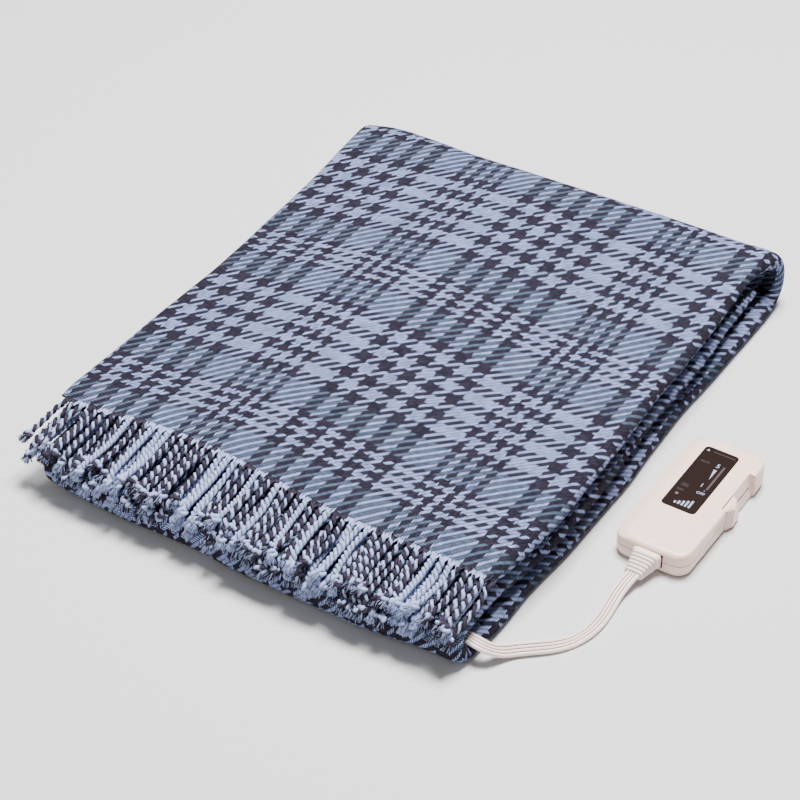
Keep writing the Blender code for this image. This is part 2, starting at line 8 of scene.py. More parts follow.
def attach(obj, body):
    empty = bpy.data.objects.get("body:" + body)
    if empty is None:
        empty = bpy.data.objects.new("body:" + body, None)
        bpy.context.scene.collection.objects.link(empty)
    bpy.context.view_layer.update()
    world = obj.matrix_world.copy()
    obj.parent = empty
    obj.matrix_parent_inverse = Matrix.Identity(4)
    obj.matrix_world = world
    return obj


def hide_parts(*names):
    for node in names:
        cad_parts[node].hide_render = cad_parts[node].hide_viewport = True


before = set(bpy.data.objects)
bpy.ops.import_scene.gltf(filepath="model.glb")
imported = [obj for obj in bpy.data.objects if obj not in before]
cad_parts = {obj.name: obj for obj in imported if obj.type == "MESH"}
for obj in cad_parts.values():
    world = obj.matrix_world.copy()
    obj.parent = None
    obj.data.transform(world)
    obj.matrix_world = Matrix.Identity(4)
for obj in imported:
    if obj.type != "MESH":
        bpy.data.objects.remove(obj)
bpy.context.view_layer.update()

# Looks of a folded, fringed electric heated blanket with its flat cord and hand controller.
# Metres. Tables are measured from the blanket's own middle line, which lies here in the frame:
homeX = -0.05005
homeY = -0.018825
mainBody = "blanket_and_controller"
sliderBody = "slider"


def fromHex(code):
    # sRGB hex to the linear colour that a shader socket wants
    channels = [int(code[i:i + 2], 16) / 255 for i in (0, 2, 4)]
    return tuple(c / 12.92 if c <= 0.04045 else ((c + 0.055) / 1.055) ** 2.4 for c in channels) + (1.0,)


def feed(tree, node, inputs):
    # what goes into a node: a value, a socket or another node's first live output
    for key, value in inputs.items():
        if isinstance(value, bpy.types.Node):
            value = next(socket for socket in value.outputs if socket.enabled)
        if isinstance(value, bpy.types.NodeSocket):
            tree.links.new(value, node.inputs[key])
        else:
            node.inputs[key].default_value = value


def addNode(tree, kind, inputs=None, **settings):
    # one node with its settings and what goes into it
    node = tree.nodes.new(kind)
    for name, value in settings.items():
        setattr(node, name, value)
    feed(tree, node, inputs or {})
    return node


def newMaterial(name, settings):
    # a Principled material; returns it with its tree and its shader
    material = bpy.data.materials.new(name)
    material.use_nodes = True
    tree = material.node_tree
    shader = tree.nodes["Principled BSDF"]
    feed(tree, shader, settings)
    return material, tree, shader


def cloudedMaterial(name, tone, other, roughness, specular, scale=180.0, detail=3.0):
    # one even finish with a trace of cloudiness
    material, tree, shader = newMaterial(name, {"Roughness": roughness, "Specular IOR Level": specular})
    place = addNode(tree, "ShaderNodeTexCoord").outputs["Object"]
    cloud = addNode(tree, "ShaderNodeTexNoise", {"Vector": place, "Scale": scale, "Detail": detail})
    mixed = addNode(tree, "ShaderNodeMix", {
        "Factor": cloud, "A": fromHex(tone), "B": fromHex(other)}, data_type="RGBA")
    feed(tree, shader, {"Base Color": mixed})
    return material


def smoothStep(t):
    t = min(max(t, 0.0), 1.0)
    return t * t * (3 - 2 * t)


def readLine(rows, column, at):
    # smooth curve through one column of a table, read at a value of the first column
    at = min(max(at, rows[0][0]), rows[-1][0])
    index = 0
    while index < len(rows) - 2 and at > rows[index + 1][0]:
        index += 1
    before, start, end = rows[max(index - 1, 0)], rows[index], rows[index + 1]
    after = rows[min(index + 2, len(rows) - 1)]
    span = end[0] - start[0]
    t = (at - start[0]) / span
    slopeIn = (end[column] - before[column]) / (end[0] - before[0]) * span
    slopeOut = (after[column] - start[column]) / (after[0] - start[0]) * span
    return (
        (2 * t**3 - 3 * t**2 + 1) * start[column] + (t**3 - 2 * t**2 + t) * slopeIn
        + (3 * t**2 - 2 * t**3) * end[column] + (t**3 - t**2) * slopeOut
    )


def smoothRoute(route, count, fineness=12):
    # evenly spaced points on a smooth curve through the route's points
    points = [Vector(p) for p in route]
    fine = []
    for i in range(len(points) - 1):
        before, start, end = points[max(i - 1, 0)], points[i], points[i + 1]
        after = points[min(i + 2, len(points) - 1)]
        for step in range(fineness):
            t = step / fineness
            bend = (2 * before - 5 * start + 4 * end - after) * t**2
            bend += (3 * start - before - 3 * end + after) * t**3
            fine.append((2 * start + (end - before) * t + bend) / 2)
    fine.append(points[-1])
    reach = [0.0]
    for one, two in zip(fine, fine[1:]):
        reach.append(reach[-1] + (two - one).length)
    made = []
    i = 0
    for number in range(count):
        wanted = reach[-1] * number / (count - 1)
        while i < len(fine) - 2 and reach[i + 1] < wanted:
            i += 1
        share = (wanted - reach[i]) / max(reach[i + 1] - reach[i], 1e-9)
        made.append(fine[i].lerp(fine[i + 1], min(share, 1.0)))
    return made, reach[-1]


def meshOf(name, builder):
    # the builder as a mesh, its faces looking away from the inside, also round a sunk face
    bmesh.ops.recalc_face_normals(builder, faces=builder.faces)
    if builder.calc_volume(signed=True) < 0:
        bmesh.ops.reverse_faces(builder, faces=builder.faces)
    data = bpy.data.meshes.new(name)
    builder.to_mesh(data)
    builder.free()
    return data


def makePiece(name, made, material, smoothAngle=None):
    # a mesh or builder in table measures becomes an object in the frame
    data = made if isinstance(made, bpy.types.Mesh) else meshOf(name, made)
    if not data.materials:
        data.materials.append(material)
    if smoothAngle is not None:
        data.shade_smooth()
        data.set_sharp_from_angle(angle=math.radians(smoothAngle))
    data.transform(Matrix.Translation((homeX, homeY, 0.0)))
    piece = bpy.data.objects.new(name, data)
    bpy.context.scene.collection.objects.link(piece)
    return piece


def joinRings(builder, rings):
    # four-sided faces between each ring of points and the next
    count = len(rings[0])
    for one, two in zip(rings, rings[1:]):
        for k in range(count):
            after = (k + 1) % count
            builder.faces.new((one[k], one[after], two[after], two[k]))


def loft(builder, outlines):
    # a closed skin over a run of outlines; returns its rings of points
    rings = [[builder.verts.new(point) for point in outline] for outline in outlines]
    joinRings(builder, rings)
    builder.faces.new(rings[0][::-1])
    builder.faces.new(rings[-1])
    return rings


def dress(piece, node, body=mainBody):
    # the piece takes over from its CAD node and moves with its body
    if node:
        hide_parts(node)
    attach(piece, body)


def spread(index, seed):
    # an even spread between -1 and 1, the same at every run
    value = math.sin(index * 12.9898 + seed * 78.233) * 43758.5453
    return 2 * (value - math.floor(value)) - 1


camera = {
    "azimuth": math.radians(32.7),
    "elevation": math.radians(39.3),
    "distance": 1.97,
    "lens": 108.0,
    "sensor": 36.0,
}


def makeCamera():
    data = bpy.data.cameras.new("camera")
    data.lens = camera["lens"]
    data.sensor_width = camera["sensor"]
    data.clip_start = 0.05
    data.clip_end = 50.0
    eye = bpy.data.objects.new("camera", data)
    bpy.context.scene.collection.objects.link(eye)
    a, e = camera["azimuth"], camera["elevation"]
    back = Vector((math.sin(a) * math.cos(e), -math.cos(a) * math.cos(e), math.sin(e)))
    eye.location = Vector((homeX, homeY, 0.0)) + back * camera["distance"]
    eye.rotation_euler = (-back).to_track_quat("-Z", "Y").to_euler()
    bpy.context.scene.camera = eye


makeCamera()
print("camera set")


cord = {
    "width": 0.0110,
    "thick": 0.0036,
    "cores": 4,
    "core sides": 7,  # points round each core, on one face
    "end sides": 3,  # and this many more on the two outermost cores
    "floor z": 0.00205,
    "fold z": 0.01715,
    "points": 96,
    "light": "EEDDD8",
    "shade": "E3CDC4",
    "mottle scale": 90.0,  # waves per metre
    # painted shade: the dark tones that the groove floors take
    "groove shade tones": ("352724", "7E322C", "553630"),
    "groove reach": 0.28,  # share of the way up a groove's side where its dark line starts
    "groove depth": 0.95,  # how far the line's own tone takes over
}
grooveNames = ("groove", "grooveTwo", "grooveThree")
# x, y, z, roll in degrees (positive drops the outer edge)
cordRoute = (
    (0.1700, -0.2165, cord["fold z"], 0),
    (0.1780, -0.2173, cord["fold z"], 0),
    (0.1860, -0.2182, cord["fold z"], 0),
    (0.1945, -0.2191, 0.0176, 0),
    (0.2025, -0.2198, 0.0180, 4),
    (0.2095, -0.2198, 0.0169, 10),
    (0.2152, -0.2171, 0.0134, 18),
    (0.2196, -0.2118, 0.0090, 26),
    (0.2238, -0.2058, 0.0062, 32),
    (0.2283, -0.2004, 0.0053, 35),
    (0.2327, -0.1963, 0.0050, 35),
    (0.2372, -0.1923, 0.0048, 32),
    (0.2416, -0.1884, 0.0045, 28),
    (0.2460, -0.1842, 0.0040, 22),
    (0.2502, -0.1795, 0.0034, 15),
    (0.2541, -0.1742, 0.0028, 8),
    (0.2575, -0.1682, cord["floor z"], 0),
    (0.2603, -0.1616, cord["floor z"], 0),
    (0.2625, -0.1540, cord["floor z"], 0),
    (0.2637, -0.1450, cord["floor z"], 0),
    (0.2638, -0.1355, cord["floor z"], 0),
    (0.2630, -0.1260, cord["floor z"], 0),
    (0.2621, -0.1170, 0.0027, 0),
    (0.2617, -0.1085, 0.0044, 0),
    (0.2622, -0.1005, 0.0066, 0),
    (0.2636, -0.0909, 0.0090, 0),
    (0.2641, -0.0870, 0.0097, 0),
)


def cordSection():
    # outline of round cores side by side; a groove's floor carries the groove's number
    radius = cord["thick"] / 2
    step = (cord["width"] - cord["thick"]) / (cord["cores"] - 1)
    meet = math.degrees(math.acos(min(step / 2 / radius, 1.0)))
    lastCore = cord["cores"] - 1
    top = []
    for core in range(cord["cores"]):
        middle = -cord["width"] / 2 + radius + core * step
        first = 180 if core == 0 else 180 - meet
        last = 0 if core == lastCore else meet
        sides = cord["core sides"] + (cord["end sides"] if core in (0, lastCore) else 0)
        for k in range(sides):
            if core and k == 0:
                continue  # shared with the core before
            angle = math.radians(first + (last - first) * k / (sides - 1))
            edge = k == sides - 1 and core < lastCore
            top.append((middle + radius * math.cos(angle), radius * math.sin(angle), core + 1 if edge else 0))
    low = [(x, -y, number) for x, y, number in top[-2:0:-1]]
    return top + low


def makeCord(material):
    section = cordSection()
    centre, length = smoothRoute([row[:3] for row in cordRoute], cord["points"])
    rolls = [(i / (len(cordRoute) - 1), row[3]) for i, row in enumerate(cordRoute)]
    builder = bmesh.new()
    layers = [builder.verts.layers.float.new(name) for name in grooveNames]
    outlines = []
    for i, point in enumerate(centre):
        ahead = centre[min(i + 1, len(centre) - 1)] - centre[max(i - 1, 0)]
        ahead.normalize()
        across = ahead.cross(Vector((0, 0, 1))).normalized()
        up = across.cross(ahead).normalized()
        roll = math.radians(readLine(rolls, 1, i / (len(centre) - 1)))
        turn = Matrix.Rotation(roll, 3, ahead)
        across, up = turn @ across, turn @ up
        outlines.append([point + across * x + up * y for x, y, _ in section])
    for ring in loft(builder, outlines):
        for vert, (_, _, number) in zip(ring, section):
            if number:
                vert[layers[number - 1]] = 1.0
    piece = makePiece("flatCord", builder, material, smoothAngle=50)
    return piece, [point + Vector((homeX, homeY, 0)) for point in centre], length


def softPvc():
    # plasticised PVC, extruded: smooth satin, slightly waxy, with painted shade as dark lines down in the
    # grooves
    material, tree, shader = newMaterial("softIvoryPvc", {
        "Roughness": 0.42, "IOR": 1.53, "Specular IOR Level": 0.4})
    place = addNode(tree, "ShaderNodeTexCoord").outputs["Object"]
    mottle = addNode(tree, "ShaderNodeTexNoise", {
        "Vector": place, "Scale": cord["mottle scale"], "Detail": 3.0})
    tone = addNode(tree, "ShaderNodeMix", {
        "Factor": mottle, "A": fromHex(cord["light"]), "B": fromHex(cord["shade"])}, data_type="RGBA")
    # painted shade: each groove's floor darkens to its own tone
    for label, line in zip(grooveNames, cord["groove shade tones"]):
        depth = addNode(tree, "ShaderNodeAttribute", attribute_name=label)
        share = addNode(tree, "ShaderNodeMapRange", {
            "Value": depth.outputs["Fac"], "From Max": cord["groove reach"], "To Max": cord["groove depth"]})
        tone = addNode(tree, "ShaderNodeMix", {
            "Factor": share, "A": tone, "B": fromHex(line)}, data_type="RGBA")
    bump = addNode(tree, "ShaderNodeBump", {"Height": mottle, "Strength": 0.05, "Distance": 0.0003})
    feed(tree, shader, {"Base Color": tone, "Normal": bump})
    return material


ivoryPvc = softPvc()
flatCord, cordPath, cordLength = makeCord(ivoryPvc)
dress(flatCord, "cord")
print("cord made,", round(cordLength, 4), "m")


cloth = {
    "ply": 0.0055,
    "ply gap": 0.0040,
    "pack gap": 0.0070,
    "near drop": 0.0040,
    "drop reach": 0.30,
    "tuck clear": 0.016,
    "inner step": 0.0030,
    "swell": 0.0010,
    "swell waves": (17, 4.1, 0.6),  # radians to a metre of width, radians over the length, start
    "across steps": 64,
    "edge steps": 10,
    "pack steps": (74, 18, 74, 10, 70),
    "rim steps": 4,
    "fold astray": 0.0125,  # how far the lengthwise fold leaves its first yarn in the lower packs
    "astray from": 1.2,  # where along the folds that starts
    "ripple": 0.0005,  # small unevenness of the faces
    "ripple scale": 26.0,  # waves per metre
    "edge share": 0.40,  # ply thickness left at the fringed edge
    "edge reach": 0.016,
    "edge rows": (0.0, 0.004, 0.009, 0.015, 0.022, 0.031),  # share of the top's length
    "row gap": 0.004,
    "thinnest": 0.06,  # share of the thickness where an end closes
}
pack = 2 * cloth["ply"] + cloth["ply gap"]
pitch = pack + cloth["pack gap"]
plyOffset = (cloth["ply"] + cloth["ply gap"]) / 2
lowZ = pack / 2
middleZ = lowZ + pitch
topZ = lowZ + 2 * pitch

# x, y of the fringed edge, y of the far fold's centre, y of the near fold's centre
crossLines = (
    (-0.205, -0.1935, 0.2460, -0.2235),
    (-0.180, -0.1912, 0.2548, -0.2240),
    (-0.150, -0.1868, 0.2571, -0.2270),
    (-0.100, -0.1795, 0.2566, -0.2292),
    (-0.040, -0.1790, 0.2590, -0.2270),
    (0.010, -0.1840, 0.2610, -0.2300),
    (0.060, -0.1890, 0.2630, -0.2297),
    (0.120, -0.1885, 0.2643, -0.2290),
    (0.165, -0.1870, 0.2652, -0.2240),
    (0.190, -0.1878, 0.2670, -0.2225),
    (0.207, -0.1870, 0.2640, -0.2222),
)
# y, top left, top right, middle left, middle right, bottom left, bottom right
sideLines = (
    (-0.240, -0.1930, 0.1985, -0.1740, 0.2020, -0.1705, 0.2050),
    (-0.190, -0.1925, 0.2005, -0.1760, 0.2015, -0.1715, 0.2078),
    (-0.145, -0.1900, 0.2060, -0.1775, 0.2068, -0.1735, 0.2072),
    (-0.100, -0.1876, 0.2097, -0.1790, 0.2100, -0.1750, 0.2098),
    (-0.050, -0.1866, 0.2080, -0.1770, 0.2100, -0.1760, 0.2102),
    (0.000, -0.1848, 0.2070, -0.1755, 0.2068, -0.1770, 0.2102),
    (0.050, -0.1858, 0.2040, -0.1760, 0.2035, -0.1778, 0.2072),
    (0.100, -0.1878, 0.2028, -0.1770, 0.2038, -0.1785, 0.2053),
    (0.150, -0.1898, 0.2012, -0.1780, 0.2026, -0.1815, 0.2062),
    (0.200, -0.1941, 0.1978, -0.1795, 0.1980, -0.1850, 0.2068),
    (0.240, -0.1980, 0.1960, -0.1800, 0.1970, -0.1890, 0.2070),
    (0.275, -0.2010, 0.2043, -0.1800, 0.1970, -0.1930, 0.2066),
)

# how far the check has crept as the cloth lies, in millimetres, from its even place:
# by distance across, then for each y of the top, across and along
creepPlaces = (-0.160, -0.120, -0.080, -0.040, 0.000, 0.040, 0.080, 0.120, 0.160)
creepAcross = (
    (-0.155, -2.8, -5.4, -6.9, -9.1, -8.5, -7.8, -6.8, -6.5, -5.2),
    (-0.115, -1.4, -4.3, -6.2, -7.6, -7.4, -6.4, -5.1, -4.3, -3.7),
    (-0.075, -1.5, -5.6, -6.3, -6.5, -6.6, -5.8, -4.3, -3.5, -2.9),
    (0.005, -1.3, -5.1, -5.8, -5.9, -5.7, -4.7, -3.0, -1.6, -1.6),
    (0.085, -0.4, -4.3, -4.9, -5.9, -5.8, -5.0, -3.3, -2.2, -2.2),
    (0.165, -1.0, -4.4, -4.8, -6.5, -8.3, -7.6, -6.5, -5.6, -5.7),
    (0.205, -2.5, -5.1, -4.8, -6.8, -8.8, -8.4, -7.2, -6.2, -6.4),
)
creepAlong = (
    (-0.155, 1.9, 0.2, 1.3, 4.1, 5.8, 7.1, 6.3, 3.3, 1.7),
    (-0.115, -0.5, -0.7, 2.4, 4.5, 6.4, 7.2, 5.0, 2.4, 0.6),
    (-0.075, -2.5, -3.0, -1.3, -0.2, 2.1, 4.3, 2.5, 0.1, -2.7),
    (0.005, -4.3, -3.7, -2.4, -2.2, 0.5, 0.8, -2.1, -5.9, -8.7),
    (0.085, -10.8, -8.5, -5.6, -4.1, -1.7, 0.2, -2.5, -5.8, -7.9),
    (0.165, -12.1, -10.1, -7.4, -3.3, 1.1, 3.1, 1.7, -1.1, -4.8),
    (0.205, -11.3, -9.4, -6.8, -2.5, 1.6, 4.9, 3.3, 0.6, -4.7),
)


def creepAt(table, x, y):
    # the table read at one place of the top, in metres
    columns = list(zip(creepPlaces, *(row[1:] for row in table)))
    line = [(row[0], readLine(columns, number + 1, x)) for number, row in enumerate(table)]
    return readLine(line, 1, y) / 1000


def topHeight(x, along):
    drop = cloth["near drop"] * (1 - smoothStep(along / cloth["drop reach"]))
    overX, overLength, start = cloth["swell waves"]
    wave = math.sin(overX * x + overLength * along + start)
    swell = cloth["swell"] * wave * math.sin(math.pi * along) ** 2
    return topZ - drop + swell


def foldLine(x, along):
    # centre of the pack in the Y-Z plane: top, far fold, bottom, near fold, middle
    fringeY, farY, nearY = (readLine(crossLines, column, x) for column in (1, 2, 3))
    stretch = min(int(along), 4)
    t = along - stretch
    if stretch == 0:
        return fringeY + (farY - fringeY) * t, topHeight(x, t)
    if stretch == 1:
        radius = (topZ - lowZ) / 2
        return farY + radius * math.sin(math.pi * t), lowZ + radius * (1 + math.cos(math.pi * t))
    if stretch == 2:
        return farY + (nearY - farY) * t, lowZ
    if stretch == 3:
        radius = (middleZ - lowZ) / 2
        return nearY - radius * math.sin(math.pi * t), lowZ + radius * (1 - math.cos(math.pi * t))
    return nearY + (farY - cloth["tuck clear"] - nearY) * t, middleZ


def foldFrame(x, along):
    # centre of the fold there, and the unit vector out of it
    step = 0.002
    y0, z0 = foldLine(x, max(along - step, 0.0))
    y1, z1 = foldLine(x, min(along + step, 5.0))
    size = math.hypot(y1 - y0, z1 - z0)
    y, z = foldLine(x, along)
    return y, z, -(z1 - z0) / size, (y1 - y0) / size


def sideLimits(y, along):
    pastFar, pastNear = smoothStep(along - 1), smoothStep(along - 3)
    limits = []
    for side in (0, 1):
        top, middle, low = (readLine(sideLines, column + side, y) for column in (1, 3, 5))
        edge = top + (low - top) * pastFar
        limits.append(edge + (middle - edge) * pastNear)
    return limits


def clothPoint(across, along):
    # mid-surface: 0 to 1 over the outer layer, 1 to 2 round the right edge, 2 to 3 back inside.
    # Gives the point and how far across the flat cloth it lies
    left, right = sideLimits(foldLine(0.0, along)[0], along)
    turnX = right - cloth["ply"] / 2 - plyOffset
    outerTurn = plyOffset + cloth["ply"] / 2
    if across <= 1:
        x, offset = left + (turnX - left) * across, plyOffset
        flat = x
    elif across < 2:
        angle = math.pi * (across - 1)
        x, offset = turnX + plyOffset * math.sin(angle), plyOffset * math.cos(angle)
        flat = turnX + outerTurn * angle
    else:
        x = turnX + (left + cloth["inner step"] - turnX) * (across - 2)
        offset = -plyOffset
        flat = turnX + outerTurn * math.pi + turnX - x
    y, z, outY, outZ = foldFrame(x, along)
    return Vector((x, y + offset * outY, z + offset * outZ)), flat


def makeCloth(material):
    steps, edge = cloth["across steps"], cloth["edge steps"]
    acrossValues = [i / steps for i in range(steps)] + [1 + i / edge for i in range(edge)]
    acrossValues += [2 + i / steps for i in range(steps + 1)]
    alongValues = list(cloth["edge rows"])
    for stretch, count in enumerate(cloth["pack steps"]):
        fresh = [stretch + i / count for i in range(count)]
        alongValues += [s for s in fresh if s > alongValues[-1] + cloth["row gap"]]
    alongValues.append(5.0)
    columns, rows = len(acrossValues), len(alongValues)
    edgeHalf = cloth["ply"] / 2 * cloth["edge share"]
    scale = cloth["ripple scale"]

    grid = [[clothPoint(a, s) for s in alongValues] for a in acrossValues]
    # length along the flat cloth, taken from the outer layer and shared with the inner one
    reach = []
    for i in range(steps + 1):
        line = [0.0]
        for j in range(1, rows):
            line.append(line[-1] + (grid[i][j][0] - grid[i][j - 1][0]).length)
        reach.append(line)

    def flatLength(i, j):
        across = acrossValues[i]
        outer = i if across <= 1 else steps if across < 2 else round((3 - across) * steps)
        return reach[outer][j]

    creep = []
    for a in acrossValues:
        x = clothPoint(min(a, 1.0) if a < 2 else 3 - a, 0.0)[0].x
        line = []
        for s in alongValues:
            y = foldLine(x, min(s, 1.0))[0]
            astray = cloth["fold astray"] * smoothStep(s - cloth["astray from"])
            line.append((creepAt(creepAcross, x, y) + astray, creepAt(creepAlong, x, y)))
        creep.append(line)

    builder = bmesh.new()
    uvLayer = builder.loops.layers.uv.new("weave")
    flats = {}
    rimAngles = [math.pi / 2 * k / cloth["rim steps"] for k in range(cloth["rim steps"] + 1)]

    def ringAt(j, beyond, thin):
        # closed loop round the cloth's section: outer face, its open edge, inner face, the other edge
        ring = []
        for face in (1, -1):
            order = range(columns) if face > 0 else range(columns - 1, -1, -1)
            for i in order:
                point, flat = grid[i][j]
                ahead = grid[min(i + 1, columns - 1)][j][0] - grid[max(i - 1, 0)][j][0]
                beside = grid[i][min(j + 1, rows - 1)][0] - grid[i][max(j - 1, 0)][0]
                ahead.normalize()
                beside.normalize()
                normal = ahead.cross(beside).normalized()
                worn = smoothStep(flatLength(i, j) / cloth["edge reach"])
                half = cloth["ply"] / 2 * (cloth["edge share"] + (1 - cloth["edge share"]) * worn)
                places = [(1.0, 0.0)]
                if i in (0, columns - 1):
                    places = [(math.cos(a), math.sin(a)) for a in rimAngles]
                    if (i == 0) == (face > 0):
                        places = places[::-1]
                    if face < 0:
                        places = places[1:] if i == columns - 1 else places[:-1]
                for upShare, outShare in places:
                    outward = -1 if i == 0 else 1
                    spot = point + normal * face * half * thin * upShare
                    spot += ahead * outward * half * outShare * thin + beside * beyond
                    if upShare > 0.5 and thin == 1.0:
                        at = Vector((flat * scale, flatLength(i, j) * scale, 3.0 * face))
                        spot += normal * face * noise.noise(at) * cloth["ripple"]
                    vert = builder.verts.new(spot)
                    across, along = creep[i][j]
                    flats[vert] = (
                        flat + outward * half * outShare - across, flatLength(i, j) + beyond - along)
                    ring.append(vert)
        return ring

    # the fringed end and the tucked end are rounded off
    rings = []
    for angle in rimAngles[:0:-1]:
        rings.append(ringAt(0, -edgeHalf * math.sin(angle), max(math.cos(angle), cloth["thinnest"])))
    for j in range(rows):
        rings.append(ringAt(j, 0.0, 1.0))
    for angle in rimAngles[1:]:
        beyond = cloth["ply"] / 2 * math.sin(angle)
        rings.append(ringAt(rows - 1, beyond, max(math.cos(angle), cloth["thinnest"])))
    joinRings(builder, rings)
    # both ends are closed with a narrow strip between the two faces
    count = len(rings[0])
    for ring in (rings[0], rings[-1]):
        for k in range(count // 2 - 1):
            builder.faces.new((ring[k], ring[k + 1], ring[count - 2 - k], ring[count - 1 - k]))
    for face in builder.faces:
        for loop in face.loops:
            loop[uvLayer].uv = flats[loop.vert]
    return makePiece("foldedBlanket", builder, material, smoothAngle=60)


weave = {
    "end": 0.001532,  # one warp yarn, across
    "pick": 0.001722,  # one weft yarn, along
    "warp start": -0.2073,
    "weft start": -0.0080,
    "light": "8C98C3",
    "dark": "2A2630",
    "blue": "4E5A6D",
    # painted shade between the yarns
    "gap": "171520",
    "yarn waver": 0.00016,
    # waves per metre
    "waver scale": 420.0,
    "fuzz scale": 1500.0,
    "patch scale": 60.0,
    "ridge": ((math.pi / 3, 0.3), (math.pi, 0.9)),  # how round a float is along itself and across
    "float shade": (0.70, 1.30),
    "fuzz shade": (0.88, 1.10),
    "patch shade": (0.95, 1.05),
}
# the weaver's chart: yarn and how many of it, one repeat
warpOrder = [("dark", 7), ("light", 7)] * 4 + [("dark", 7), ("light", 17)]
warpOrder += [("dark", 4), ("light", 4)] * 3 + [("dark", 4), ("light", 18)]
weftOrder = [("blue", 18)] + [("dark", 4), ("light", 3)] * 3 + [("dark", 4), ("blue", 18)]
weftOrder += [("dark", 7), ("light", 7)] * 4 + [("dark", 7)]


def yarnRamp(tree, order, place):
    # the chart as a ramp of plain steps, read at a yarn's own number
    total = sum(count for _, count in order)
    share = place
    for operation, value in (("FLOORED_MODULO", float(total)), ("ADD", 0.5), ("MULTIPLY", 1 / total)):
        share = addNode(tree, "ShaderNodeMath", {0: share, 1: value}, operation=operation)
    ramp = addNode(tree, "ShaderNodeValToRGB", {0: share})
    ramp.color_ramp.interpolation = "CONSTANT"
    steps = ramp.color_ramp.elements
    reached = 0
    for number, (yarn, count) in enumerate(order):
        step = steps[number] if number < 2 else steps.new(reached / total)
        step.position = reached / total
        step.color = fromHex(weave[yarn])
        reached += count
    return ramp


